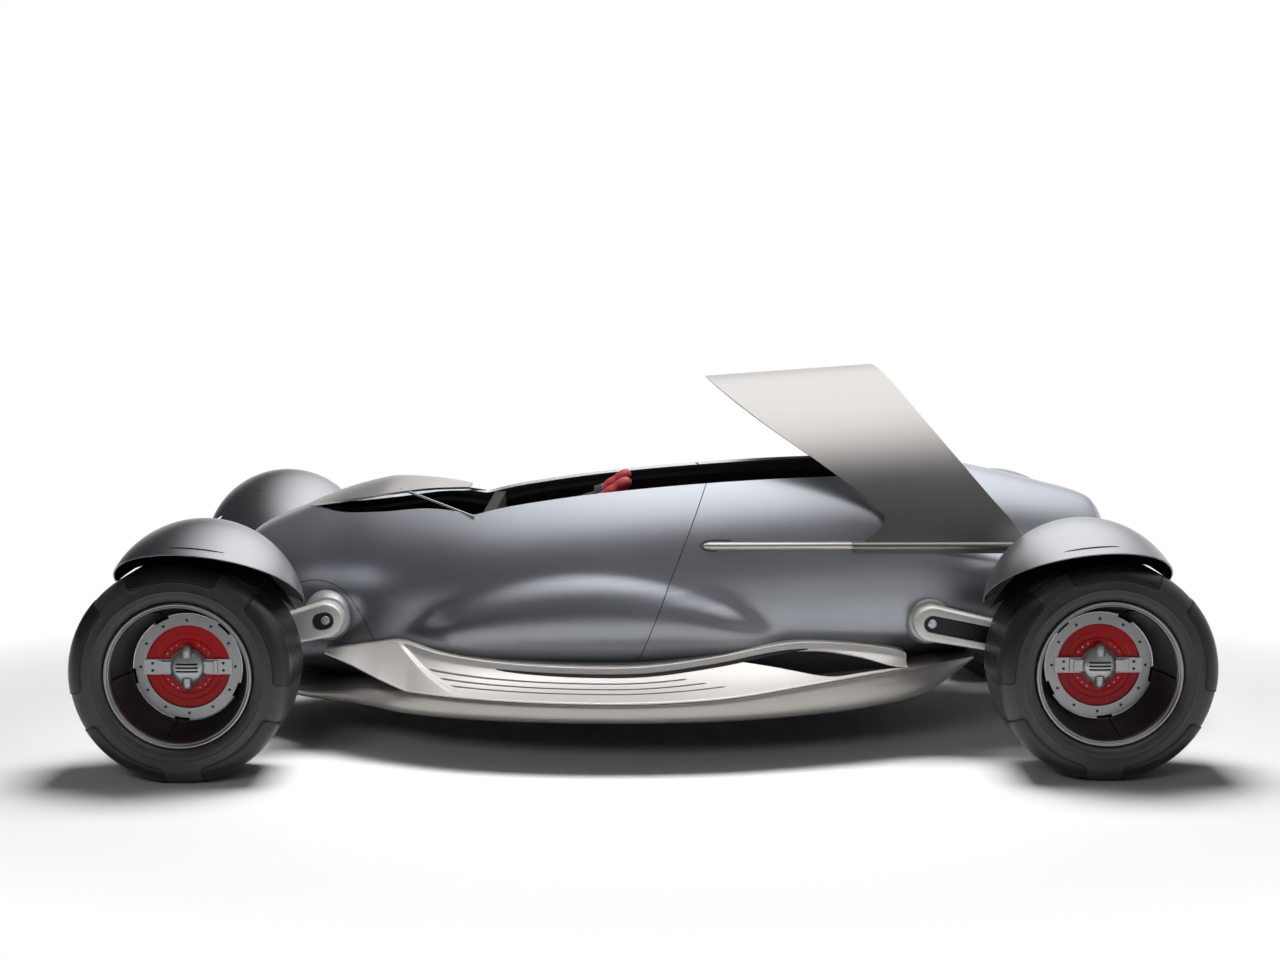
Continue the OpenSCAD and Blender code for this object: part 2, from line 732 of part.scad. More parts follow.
// Room that a mudguard leaves round the tyre
tyre_room = 9;
stay_t = 9;
stay_w = 46;
stay_y = wheel_y - tyre_w / 2 - 8 - stay_t;
module dome_ball(r) translate([axle_x - dome_shift, dome_y, tyre_r + dome_rise]) sphere(r, $fn = 128);
module mudguard(end, side) color(silver) corner(end, side) {
    difference() {
        dome_ball(dome_r);
        dome_ball(dome_r - dome_t);
        translate([axle_x - dome_shift, dome_y, tyre_r + dome_rise]) rotate([dome_lean, -dome_pitch, 0])
            translate([-big / 2, -big / 2, dome_cut - big]) cube([big, big, big]);
        translate([0, 0, dome_low - big]) cube([big, big, big]);
        about_axle() translate([0, 0, wheel_y - tyre_w / 2 - tyre_room])
            cylinder(r = tyre_r + tyre_room, h = tyre_w + 2 * tyre_room, $fn = 128);
    }
    intersection() {
        translate([axle_x - stay_w / 2, stay_y, tyre_r + eye_half + lug_t + gap]) cube([stay_w, stay_t, big]);
        dome_ball(dome_r - dome_t / 2);
    }
}

// Rim: barrel with two lips, web and bearing collar
lip_w = 20;
web_t = 14;
tyre_half = tyre_w / 2;
tread_half = tyre_half - shoulder_r;
// Radius of the tyre's beads, limited by its sidewall
bead_curve = min(31, tyre_r - shoulder_r - rim_seat_r - rim_lip_h - gap);
bead_half = tyre_half - bead_curve;
barrel_half = bead_half + lip_w;
collar_y = face_y - ring_t - side_gap - collar_w - wheel_y;
spoke_count = 6;
spoke_groove = 5;
module rim(end, side) color(dark) corner(end, side) about_axle() translate([0, 0, wheel_y]) difference() {
    rotate_extrude() polygon([
        [rim_seat_r - rim_wall, -barrel_half], [rim_seat_r + rim_lip_h, -barrel_half],
        [rim_seat_r + rim_lip_h, -bead_half - 1], [rim_seat_r, -bead_half - 1],
        [rim_seat_r, bead_half + 1], [rim_seat_r + rim_lip_h, bead_half + 1],
        [rim_seat_r + rim_lip_h, barrel_half], [rim_seat_r - 2, barrel_half],
        [rim_seat_r - rim_wall, barrel_half - 12], [rim_seat_r - rim_wall, collar_y + collar_w + 34],
        [rim_seat_r - 2.4 * rim_wall, collar_y + collar_w], [bearing_r + running, collar_y + collar_w],
        [bearing_r + running, collar_y], [bearing_r + running + 10, collar_y],
        [bearing_r + running + 10, collar_y + collar_w - web_t], [rim_seat_r - rim_wall, collar_y + collar_w - web_t]
    ]);
    for (n = [0:spoke_count - 1]) rotate(360 * n / spoke_count)
        translate([bearing_r + tab_h + 6, -spoke_groove / 2, collar_y + collar_w - 4])
            cube([rim_seat_r - 2.6 * rim_wall - bearing_r - tab_h - 6, spoke_groove, 2 * web_t]);
}

// Tyre: flat tread, round shoulders, straight sidewalls and beads
bead_r0 = rim_seat_r + rim_lip_h + gap + bead_curve;
module tyre(end, side) color("black") corner(end, side) about_axle() translate([0, 0, wheel_y])
    rotate_extrude() {
        translate([tyre_r - shoulder_r, -tread_half]) square([shoulder_r, 2 * tread_half]);
        translate([bead_r0, -tyre_half]) square([tyre_r - shoulder_r - bead_r0, tyre_w]);
        translate([rim_seat_r + gap, -bead_half]) square([bead_r0 - rim_seat_r, 2 * bead_half]);
        for (tip = [-1, 1]) {
            intersection() {
                translate([tyre_r - shoulder_r, tip * tread_half]) circle(shoulder_r);
                translate([tyre_r - shoulder_r, -tyre_half]) square([shoulder_r, tyre_w]);
            }
            translate([bead_r0, tip * bead_half]) circle(bead_curve);
        }
    }

front_body();
rear_body();
hull_tray();  // hull
side_deck(-1);  // left_deck
side_deck(1);  // right_deck
visor();
hoop();
tail_fairing();
side_rail(-1);  // left_rail
side_rail(1);  // right_rail
cockpit_tub();
dash();
steering_column();
steering_yoke();
seat();
power_unit();
jack_pads();
front_arm(-1);  // front_left_arm
front_arm(1);  // front_right_arm
rear_arm(-1);  // rear_left_arm
rear_arm(1);  // rear_right_arm
carrier(-1, -1);  // front_left_carrier
carrier(-1, 1);  // front_right_carrier
carrier(1, -1);  // rear_left_carrier
carrier(1, 1);  // rear_right_carrier
motor_face(-1, -1);  // front_left_motor_face
motor_face(-1, 1);  // front_right_motor_face
motor_face(1, -1);  // rear_left_motor_face
motor_face(1, 1);  // rear_right_motor_face
cover(-1, -1);  // front_left_cover
cover(-1, 1);  // front_right_cover
cover(1, -1);  // rear_left_cover
cover(1, 1);  // rear_right_cover
mudguard(-1, -1);  // front_left_mudguard
mudguard(-1, 1);  // front_right_mudguard
mudguard(1, -1);  // rear_left_mudguard
mudguard(1, 1);  // rear_right_mudguard
rim(-1, -1);  // front_left_rim
rim(-1, 1);  // front_right_rim
rim(1, -1);  // rear_left_rim
rim(1, 1);  // rear_right_rim
tyre(-1, -1);  // front_left_tyre
tyre(-1, 1);  // front_right_tyre
tyre(1, -1);  // rear_left_tyre
tyre(1, 1);  // rear_right_tyre
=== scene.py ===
"""Looks of the open race car: smooth body skins, wheels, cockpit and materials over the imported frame."""
import json
import math
import bmesh
import bpy
import numpy as np
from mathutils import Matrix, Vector


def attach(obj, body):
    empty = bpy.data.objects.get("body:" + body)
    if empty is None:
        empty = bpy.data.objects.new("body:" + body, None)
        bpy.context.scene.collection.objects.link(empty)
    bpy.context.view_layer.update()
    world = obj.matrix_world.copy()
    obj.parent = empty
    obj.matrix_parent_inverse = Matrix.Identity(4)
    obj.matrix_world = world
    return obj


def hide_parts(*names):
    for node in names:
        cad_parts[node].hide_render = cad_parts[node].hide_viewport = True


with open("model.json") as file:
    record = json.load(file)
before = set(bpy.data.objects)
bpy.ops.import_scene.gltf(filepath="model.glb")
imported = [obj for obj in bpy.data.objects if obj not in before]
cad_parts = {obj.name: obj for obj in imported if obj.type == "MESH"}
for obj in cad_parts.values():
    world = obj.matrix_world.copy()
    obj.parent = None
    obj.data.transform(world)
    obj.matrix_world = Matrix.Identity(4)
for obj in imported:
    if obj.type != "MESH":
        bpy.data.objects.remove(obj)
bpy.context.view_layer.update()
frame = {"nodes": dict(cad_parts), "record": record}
scene = bpy.context.scene
MM = 0.001

# Sizes of the part, in millimetres, as in its source
AXLE_X = 1500
WHEEL_Y = 740
TYRE_R = 360
TYRE_W = 306
SHOULDER_R = 55
BEARING_R = 172
COVER_R = 138
FACE_Y = 733
RING_T = 12
DOME = (AXLE_X - 62, WHEEL_Y + 10, TYRE_R + 167)
DOME_R = 326
DOME_T = 5
DOME_LEAN, DOME_PITCH = math.radians(30), math.radians(5.5)
DOME_CUT = 97
DOME_LOW = 560
TYRE_ROOM = 9
SKIN = 12
OPENING_W, OPENING_LOW = 362, 640
JOINT_X, JOINT_Z, JOINT_LEAN = -12, 343, math.radians(21.7)
STRIP_W, STRIP_H = 34, 22
FRONT_SOCKET = (1095, 318, 458)
REAR_SOCKET = (980, 424, 462)
SOCKET_R, SOCKET_FLAT = 92, 74
RAIL_Z = 722

# Swelling on each flank: height, middle x, half length, lowest and highest crest z, foot z
FLANK_SWELL, SWELL_X, SWELL_HALF, CREST_LOW, CREST_HIGH, SWELL_FOOT = 62, -175, 690, 395, 622, 330
# Body sections: x, half width, lowest z, z of the widest place, top z, top squareness
BODY = np.array([
    [-1510, 14, 496, 518, 540, 2.1], [-1497, 66, 442, 516, 588, 2.2], [-1456, 148, 362, 511, 658, 2.2],
    [-1385, 235, 280, 505, 735, 2.2], [-1240, 300, 222, 500, 800, 2.2], [-1090, 345, 205, 500, 850, 2.2],
    [-900, 410, 202, 505, 893, 2.2], [-600, 474, 202, 520, 944, 2.2], [-300, 497, 202, 540, 988, 2.2],
    [0, 503, 202, 560, 1024, 2.2], [350, 499, 202, 582, 1058, 2.2], [675, 488, 206, 598, 1075, 2.25],
    [850, 484, 235, 600, 975, 2.9], [1000, 478, 280, 590, 858, 3.2], [1150, 466, 300, 575, 775, 3.4],
    [1300, 434, 315, 560, 735, 3.4], [1500, 362, 360, 550, 700, 3.0], [1640, 274, 425, 550, 655, 2.6],
    [1700, 200, 470, 552, 622, 2.4]])
# Cockpit opening: x, share of its half width
OPENING = np.array([
    [-1225, 0.02], [-1180, 0.26], [-1080, 0.54], [-930, 0.72], [-760, 0.83], [-640, 0.95], [-585, 1.01],
    [-450, 1.0], [100, 1.0], [450, 1.0], [700, 0.99], [790, 0.92], [835, 0.72], [858, 0.36], [864, 0.02]])
# Hull: x, half width at the edge, z of the edge, z of the bottom, half width of the bottom
HULL = np.array([
    [-1330, 190, 190, 172, 150], [-1220, 330, 192, 162, 280], [-1080, 400, 200, 157, 350],
    [-960, 470, 226, 155, 420], [-800, 606, 240, 155, 540], [-560, 700, 236, 155, 630],
    [-280, 748, 232, 155, 676], [0, 756, 232, 155, 684], [280, 730, 244, 155, 655],
    [540, 668, 272, 158, 590], [780, 590, 296, 168, 510], [960, 520, 310, 195, 440],
    [1085, 450, 318, 255, 370], [1150, 405, 320, 304, 340]])
# Side deck: x, y inside the body, y of the body's side, top z there
DECK = np.array([
    [-1110, 290, 336, 342], [-1020, 320, 374, 358], [-930, 340, 405, 376], [-830, 380, 444, 389],
    [-700, 400, 500, 362], [-500, 420, 540, 338], [-250, 430, 560, 325], [0, 430, 556, 325],
    [240, 420, 530, 352], [500, 400, 498, 394], [700, 390, 482, 388], [850, 390, 470, 368],
    [900, 390, 466, 350]])
# Free edge of the deck in front of the hull's wide part: x, y, z
FRONT_EDGE = np.array([[-1110, 384, 326], [-1000, 480, 304], [-900, 553, 271], [-800, 606, 240]])
# Drain slots: first x, last x, share of the way from the strip to the edge
SLOTS = [(-730, 145, 0.26), (-690, 210, 0.44), (-650, 275, 0.62)]
# Air duct in the rear of the deck: x, inner y, outer y
DUCT = np.array([
    [312, 556, 560], [400, 545, 580], [500, 536, 603], [590, 529, 620],
    [655, 527, 619], [760, 530, 586], [840, 541, 562], [888, 550, 553]])
DECK_SEAT, DUCT_WALL = 2.5, 5
# Visor: x, half width, z on the middle line, z at the edge
VISOR = np.array([
    [-1235, 10, 801, 800], [-1170, 110, 832, 822], [-1075, 182, 868, 842], [-960, 214, 900, 862],
    [-880, 212, 911, 874], [-760, 172, 902, 884], [-665, 105, 886, 880], [-625, 66, 878, 876]])
STRUT = (np.array([-585, 379, 808]), np.array([-862, 172, 882]))
# Hoop edges: z, leading x, trailing x
HOOP = np.array([
    [690, 706, 1300], [735, 752, 1298], [780, 802, 1274], [815, 822, 1248], [850, 806, 1216],
    [900, 742, 1172], [1000, 612, 1086], [1150, 420, 958], [1306, 232, 836]])
HOOP_FOOT, HOOP_TOP, HOOP_HALF, HOOP_POWER, HOOP_T, HOOP_TILT = 696, 1306, 496, 2.3, 26, 43
# Fairing behind the cockpit: x, half width, foot z, top z
FAIRING = np.array([
    [870, 290, 560, 988], [950, 300, 560, 992], [1060, 296, 560, 976], [1250, 266, 560, 938],
    [1450, 222, 560, 890], [1600, 178, 560, 848], [1650, 152, 560, 812], [1680, 118, 560, 748],
    [1690, 100, 560, 690]])


# Curves and surfaces
def along(table, u):
    """A smooth curve through the rows of a table, where u counts rows."""
    n = len(table)
    u = np.atleast_1d(u)
    i = np.minimum(np.floor(u).astype(int), n - 2)
    f = (u - i)[:, None]
    a, b, c, d = (table[np.clip(i + k, 0, n - 1)] for k in (-1, 0, 1, 2))
    return 0.5 * (2 * b + (c - a) * f + (2 * a - 5 * b + 4 * c - d) * f**2 + (3 * b - a - 3 * c + d) * f**3)


def stations(table, per_row):
    return along(table, np.arange((len(table) - 1) * per_row + 1) / per_row)


def column(table, x, k):
    """The smooth value of a table's column at a place along its first column."""
    s = stations(table, 40)
    return np.interp(x, s[:, 0], s[:, k])


def smooth(f):
    c = np.clip(f, 0, 1)
    return c * c * (3 - 2 * c)


def power(v, e):
    return np.sign(v) * np.abs(v) ** e


def turn(count):
    """Angles that share out a full turn."""
    return np.linspace(0, 2 * np.pi, count, endpoint=False)


def unit(vectors):
    return vectors / np.linalg.norm(vectors, axis=-1, keepdims=True)


def swell(x, z):
    """How far the swelling stands out of the body's side."""
    f = np.maximum(0, 1 - ((x - SWELL_X) / SWELL_HALF) ** 2)
    crest = CREST_LOW + (CREST_HIGH - CREST_LOW) * f
    below = (crest - z + np.hypot(crest - z, 14)) / 2
    share = np.clip(below / np.maximum(crest - SWELL_FOOT, 1), 0, 1)
    return FLANK_SWELL * smooth(f * 1.6) * (1 - (1 - share) ** (2 + 2.4 * smooth(f * 1.3)))


def body_side(x, z):
    """Half width of the body at a place on its side."""
    w, low, mid, top, n = (column(BODY, x, k) for k in (1, 2, 3, 4, 5))
    up = np.maximum(0, 1 - np.clip((z - mid) / (top - mid), 0, 1) ** n) ** (1 / n)
    down = np.maximum(0, 1 - np.clip((mid - z) / (mid - low), 0, 1) ** 3) ** (1 / 3)
    y = w * np.where(z > mid, up, down)
    return y + swell(x, z) * np.minimum(1, y / w)


def body_rings(per_row, sides):
    """Rings of the body from the bottom round the right side, the top and the left side."""
    s = stations(BODY, per_row)
    a = np.linspace(-np.pi / 2, np.pi / 2, sides + 1)[None, :]
    x, w, low, mid, top, n = (s[:, k:k + 1] for k in range(6))
    e = np.where(a < 0, 2 / 3, 2 / n)
    z = mid + np.where(a < 0, mid - low, top - mid) * power(np.sin(a), e)
    y = w * np.clip(np.cos(a), 0, 1) ** e
    y[:, 0] = y[:, -1] = 0
    y = y + np.where(y > w / 3, swell(x, z) * np.minimum(1, y / w), 0)
    half = np.stack([np.broadcast_to(x, y.shape), y, z], 2)
    return np.concatenate([half, half[:, -2:0:-1] * [1, -1, 1]], 1)


def grid(rings, closed=True):
    """Quads over rings of points; a closed ring joins its last point to its first."""
    rings = np.asarray(rings, float)
    n, m = rings.shape[:2]
    faces = []
    for i in range(n - 1):
        for j in range(m if closed else m - 1):
            k = (j + 1) % m
            faces.append((i * m + j, i * m + k, (i + 1) * m + k, (i + 1) * m + j))
    return rings.reshape(-1, 3), faces


def capped(rings):
    """A closed solid through rings."""
    v, faces = grid(rings)
    n, m = len(rings), len(rings[0])
    faces.append(tuple(range(m - 1, -1, -1)))
    faces.append(tuple((n - 1) * m + j for j in range(m)))
    return v, faces


def clip(part, keep):
    """Cuts a mesh along keep(points) = 0 and leaves the side where it is positive."""
    verts, faces = part
    value = keep(verts)
    points = list(map(tuple, verts))
    cuts = {}
    out = []

    def cut(a, b):
        key = (min(a, b), max(a, b))
        if key not in cuts:
            f = value[a] / (value[a] - value[b])
            cuts[key] = len(points)
            points.append(tuple(verts[a] + (verts[b] - verts[a]) * f))
        return cuts[key]

    for face in faces:
        inside = [value[i] >= 0 for i in face]
        if all(inside):
            out.append(face)
        elif any(inside):
            poly = []
            for a, b, ia, ib in zip(face, face[1:] + face[:1], inside, inside[1:] + inside[:1]):
                if ia:
                    poly.append(a)
                if ia != ib:
                    poly.append(cut(a, b))
            if len(poly) > 2:
                out.append(tuple(poly))
    used = sorted({i for f in out for i in f})
    new = {old: k for k, old in enumerate(used)}
    return np.array([points[i] for i in used]), [tuple(new[i] for i in f) for f in out]


def joined(*parts):
    """Several (verts, faces) as one."""
    verts, faces, base = [], [], 0
    for v, f in parts:
        verts.append(v)
        faces += [tuple(i + base for i in p) for p in f]
        base += len(v)
    return np.concatenate(verts), faces


def flipped(part):
    return part[0], [tuple(reversed(f)) for f in part[1]]


def mirrored(part, axis=1):
    v = part[0].copy()
    v[:, axis] *= -1
    return flipped((v, part[1]))


def moved(part, offset, by=0.0, axis=2):
    """Turns a part about one axis, in radians, then moves it."""
    v = part[0].copy()
    a, b = [(1, 2), (2, 0), (0, 1)][axis]
    c, s = math.cos(by), math.sin(by)
    v[:, a], v[:, b] = v[:, a] * c - v[:, b] * s, v[:, a] * s + v[:, b] * c
    return v + offset, part[1]


def revolve(profile, steps):
    """Turns (radius, along) points about the Z axis; the profile runs anticlockwise round its solid."""
    ring = np.stack([np.cos(turn(steps)), np.sin(turn(steps))], 1)
    return grid([at_z(r * ring, z) for r, z in profile])


def at_z(outline, z):
    return np.column_stack([outline, np.full(len(outline), z)])


def extruded(outline, z0, z1):
    """A prism over an anticlockwise outline."""
    return capped([at_z(outline, z0), at_z(outline, z1)])


def box(x0, x1, y0, y1, z0, z1):
    return extruded([(x0, y0), (x1, y0), (x1, y1), (x0, y1)], z0, z1)


def tube(points, radius, sides=12):
    """A round bar along a line of points, with closed ends."""
    p = np.asarray(points, float)
    d = np.roll(p, -1, 0) - np.roll(p, 1, 0)
    d[0], d[-1] = p[1] - p[0], p[-1] - p[-2]
    d = unit(d)
    up = np.array([0, 0, 1.0]) if np.abs(d[:, 2]).max() < 0.95 else np.array([0, 1.0, 0])
    u = unit(np.cross(d, up))
    v = np.cross(d, u)
    r = np.broadcast_to(np.asarray(radius, float), (len(p),))[:, None, None]
    a = turn(sides)[None, :, None]
    return capped(p[:, None] + r * (np.cos(a) * u[:, None] + np.sin(a) * v[:, None]))


def ribbon(points, normals, width, lift=0.4):
    """A flat strip along a line on a surface."""
    p, n = np.asarray(points, float), np.asarray(normals, float)
    s = unit(np.cross(n, np.gradient(p, axis=0)))
    n = unit(n)
    w = np.broadcast_to(np.asarray(width, float), (len(p),))[:, None] / 2
    return grid(np.stack([p + s * w + n * lift, p - s * w + n * lift], 1), closed=False)


def at_x(x, ring):
    """A ring of (y, z) points at one x."""
    return np.column_stack([np.full(len(ring), x), ring])


def out_from(part, x, z):
    """From a piece's own axes (X, up, outwards) to a place on the right side."""
    v, faces = part
    return flipped((np.stack([x + v[:, 0], v[:, 2], z + v[:, 1]], 1), faces))


def at_corner(part, end, side):
    """Moves a right rear piece to another corner."""
    if end < 0:
        part = mirrored(part, 0)
    if side < 0:
        part = mirrored(part, 1)
    return part


SIDES = [(-1, "left"), (1, "right")]
CORNERS = [("front_left", -1, -1), ("front_right", -1, 1), ("rear_left", 1, -1), ("rear_right", 1, 1)]


def given(thing, **settings):
    """Sets attributes of a new thing."""
    for key, value in settings.items():
        setattr(thing, key, value)
    return thing


def placed(name, data):
    o = bpy.data.objects.new(name, data)
    scene.collection.objects.link(o)
    return o


def mesh_object(name, part):
    mesh = bpy.data.meshes.new(name)
    mesh.from_pydata((part[0] * MM).tolist(), [], part[1])
    b = bmesh.new()
    b.from_mesh(mesh)
    bmesh.ops.remove_doubles(b, verts=b.verts, dist=2e-6)
    b.to_mesh(mesh)
    b.free()
    mesh.validate()
    return placed(name, mesh)


def shape_of(mesh):
    """(verts, faces) of a mesh, in millimetres."""
    return np.array([v.co[:] for v in mesh.vertices]) / MM, [tuple(p.vertices) for p in mesh.polygons]


def dropped(*objects):
    """Removes helper objects and their meshes."""
    for o in objects:
        mesh = o.data
        bpy.data.objects.remove(o)
        bpy.data.meshes.remove(mesh)


def sunk(part, depth):
    """The part moved inwards along its normals."""
    o = mesh_object("sunk", part)
    v, faces = shape_of(o.data)
    v = v - np.array([k.normal[:] for k in o.data.vertices]) * depth
    dropped(o)
    return v, faces


def cut_by(part, *tools):
    """The part less its tools, as (verts, faces)."""
    o = mesh_object("cut", part)
    others = [mesh_object("tool", t) for t in tools]
    for k in others:
        given(o.modifiers.new("cut", "BOOLEAN"), operation="DIFFERENCE", solver="EXACT", object=k)
    bpy.context.view_layer.update()
    out = shape_of(o.evaluated_get(bpy.context.evaluated_depsgraph_get()).to_mesh())
    dropped(o, *others)
    return out


def add(name, part, mat, body="chassis", replaces=None, solid=0, bevel=0, angle=38, inside=None):
    """Makes an object from (verts, faces) in millimetres, rides it on a body and replaces a CAD node."""
    o = mesh_object(name, part)
    mesh = o.data
    mesh.shade_smooth()
    mesh.set_sharp_from_angle(angle=math.radians(angle))
    for m in filter(None, (mat, inside)):
        mesh.materials.append(m)
    if solid:
        given(o.modifiers.new("Solidify", "SOLIDIFY"), thickness=solid * MM, offset=-1,
              use_even_offset=False, material_offset=1 if inside else 0)
    if bevel:
        given(o.modifiers.new("Bevel", "BEVEL"), width=bevel * MM, segments=2, limit_method="ANGLE",
              angle_limit=math.radians(angle), harden_normals=True)
    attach(o, body)
    if replaces:
        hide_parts(replaces)
    return o


def add_pair(piece, part, mat, node=None, **options):
    """Adds a piece on the right side and its mirror image on the left."""
    for side, p in (("right", part), ("left", mirrored(part))):
        add(f"{side}_{piece}", p, mat, replaces=node and f"{side}_{node}", **options)


def add_four(piece, part, mat, turns=False, node=None, **options):
    """Adds a piece at each corner. It turns with the wheel, or stays with the carrier."""
    for name, end, side in CORNERS:
        carrier = name + "_knuckle" if end < 0 else "chassis"
        body = name + "_wheel" if turns else carrier
        add(f"{name}_{piece}", at_corner(part, end, side), mat, body, node and f"{name}_{node}", **options)


# Materials
class Shader:
    """A node tree with short calls for the nodes that are used here."""

    def __init__(self, tree):
        self.nodes, self.link = tree.nodes, tree.links.new

    def feed(self, sockets, values):
        """Gives inputs their values: numbers, colours or outputs of other nodes."""
        for key, value in values.items():
            if isinstance(value, bpy.types.NodeSocket):
                self.link(value, sockets[key])
            else:
                sockets[key].default_value = (*value, 1) if sockets[key].type == "RGBA" else value

    def node(self, kind, values=(), **settings):
        n = given(self.nodes.new("ShaderNode" + kind), **settings)
        self.feed(n.inputs, dict(values))
        return n.outputs

    def math(self, operation, a, b):
        return self.node("Math", {0: a, 1: b}, operation=operation)[0]

    def split(self, source):
        return self.node("SeparateXYZ", {"Vector": source})

    def noise(self, scale, detail=2.0):
        place = self.node("TexCoord")["Object"]
        return self.node("TexNoise", {"Scale": scale, "Detail": detail, "Vector": place})["Fac"]

    def ramp(self, source, lo, hi, a=0.0, b=1.0, kind="LINEAR"):
        values = {"Value": source, "From Min": lo, "From Max": hi, "To Min": a, "To Max": b}
        return self.node("MapRange", values, interpolation_type=kind)["Result"]

    def blend(self, factor, dark, light):
        return self.node("Mix", {"Factor": factor, "A": dark, "B": light}, data_type="RGBA")["Result"]

    def rays(self):
        """1 for rays from the camera, and 1 for rays off metal or through glass."""
        path = self.node("LightPath")
        off_metal = self.math("MAXIMUM", path["Is Glossy Ray"], path["Is Transmission Ray"])
        return path["Is Camera Ray"], off_metal


class Material(Shader):
    """A new material that starts from plain values."""

    def __init__(self, name, color, metallic=0.0, roughness=0.5, coat=0.0, specular=0.5):
        self.made = given(bpy.data.materials.new(name), use_nodes=True)
        super().__init__(self.made.node_tree)
        self.inputs = self.nodes["Principled BSDF"].inputs
        self.feed(self.inputs, {"Base Color": color, "Metallic": metallic, "Roughness": roughness,
                                "Coat Weight": coat, "Specular IOR Level": specular})

    def tint(self, factor, dark, light):
        self.link(self.blend(factor, dark, light), self.inputs["Base Color"])

    def rough(self, factor, lo, hi):
        self.link(self.ramp(factor, 0.3, 0.7, lo, hi), self.inputs["Roughness"])

    def bump(self, height, strength, distance):
        values = {"Height": height, "Strength": strength, "Distance": distance}
        self.link(self.node("Bump", values)["Normal"], self.inputs["Normal"])

    def surface(self, shader):
        self.link(shader, self.nodes["Material Output"].inputs["Surface"])


def times(color, factor):
    return tuple(min(1, c * factor) for c in color)


def silver_paint(name, color, roughness, metallic=0.92, fade=None, shaded_underside=None):
    """Satin paint. It can darken towards a foot between two heights, which is painted shade, and darken
    where it faces down, which is painted shade on its underside.
    """
    m = Material(name, color, metallic, roughness, 0.1)
    m.inputs["Coat Roughness"].default_value = 0.3
    soft = m.noise(3, 3)
    m.rough(soft, roughness - 0.02, roughness + 0.02)
    # Painted shade: the colour darkens low down between the two heights, or where the surface faces down.
    if fade or shaded_underside:
        up = m.split(m.node("NewGeometry")["Position" if fade else "Normal"])["Z"]
        m.tint(m.ramp(up, *(fade or (-0.97, -0.75))), shaded_underside or times(color, 0.35), color)
    else:
        m.tint(soft, times(color, 0.97), times(color, 1.03))
    return m.made


def machined(name, color, roughness, metallic=1.0):
    m = Material(name, color, metallic, roughness)
    n = m.noise(12, 0)
    m.rough(n, roughness - 0.02, roughness + 0.03)
    m.tint(n, times(color, 0.95), color)
    return m.made


def grained(name, dark, light, roughness, scale, fine, strength, depth):
    m = Material(name, light, 0, roughness)
    n = m.noise(scale, 4)
    m.tint(n, dark, light)
    m.rough(n, roughness - 0.07, roughness + 0.07)
    m.bump(m.noise(fine), strength, depth)
    return m.made


def red_leather():
    m = Material("red_leather", (0.30, 0.03, 0.034), 0, 0.42)
    pores = m.node("TexVoronoi", {"Scale": 420, "Vector": m.node("TexCoord")["Object"]})
    m.tint(m.noise(25, 3), (0.24, 0.022, 0.026), (0.36, 0.04, 0.045))
    m.bump(pores["Distance"], 0.25, 0.0007)
    return m.made


def red_cover():
    m = Material("red_cover", (0.50, 0.003, 0.006), 0.0, 0.34, 0.0, 0.3)
    m.tint(m.noise(60, 3), (0.42, 0.002, 0.004), (0.56, 0.004, 0.008))
    return m.made


# The body paint darkens from 0.6 m down to 0.28 m: painted shade low on the flanks.
PAINT = silver_paint("body_silver", (0.43, 0.45, 0.49), 0.31, 0.86, fade=(0.28, 0.6))
GUARD = silver_paint("guard_silver", (0.40, 0.405, 0.42), 0.36, 0.97)
SOCKET = silver_paint("socket_silver", (0.50, 0.50, 0.515), 0.34, 0.6)
# The hoop paint darkens from 1.0 m down to 0.62 m: painted shade on the hoop's lower legs.
WARM = silver_paint("hoop_silver", (0.43, 0.416, 0.402), 0.33, 0.97, fade=(0.62, 1.0))
TRIM = silver_paint("trim_silver", (0.54, 0.52, 0.50), 0.34)
# The hull paint turns near black where it faces down: painted shade under the hull.
HULL_PAINT = silver_paint("hull_silver", (0.40, 0.38, 0.355), 0.36, 0.75, shaded_underside=(0.02, 0.02, 0.02))
PALE = silver_paint("deck_silver", (0.68, 0.655, 0.625), 0.36, 0.45)
BRIGHT = machined("bright_metal", (0.66, 0.665, 0.68), 0.26)
SATIN = machined("satin_metal", (0.50, 0.505, 0.52), 0.34, 0.75)
FACE = machined("face_metal", (0.36, 0.362, 0.37), 0.32, 0.9)
RIM = machined("rim_dark", (0.045, 0.043, 0.040), 0.38, 0.8)
DARK = machined("dark_metal", (0.05, 0.05, 0.055), 0.38)
TYRE = grained("tyre_rubber", (0.034, 0.031, 0.028), (0.062, 0.056, 0.050), 0.44, 40, 700, 0.12, 0.0006)
TREAD = grained("tread_rubber", (0.010, 0.010, 0.010), (0.018, 0.018, 0.018), 0.36, 40, 700, 0.12, 0.0006)
LINING = grained("lining", (0.006, 0.006, 0.007), (0.014, 0.014, 0.015), 0.8, 300, 900, 0.2, 0.0005)
# Near-black for seams, slits and grooves, and for the painted shade in the duct, the slots, the strip's foot
# and under the mudguards.
SEAM_AND_SHADE = grained("seam", (0.005, 0.005, 0.006), (0.009, 0.009, 0.010), 0.75, 200, 900, 0.1, 0.0003)
LEATHER = red_leather()
RED = red_cover()


# Body skins
def joint_side(v):
    return (v[:, 0] - JOINT_X) * math.cos(JOINT_LEAN) - (v[:, 2] - JOINT_Z) * math.sin(JOINT_LEAN)


def outside_opening(v):
    s = stations(OPENING, 12)
    half = np.interp(v[:, 0], s[:, 0], s[:, 1] * OPENING_W, -5, -5)
    return np.maximum(np.abs(v[:, 1]) - half, OPENING_LOW - v[:, 2])


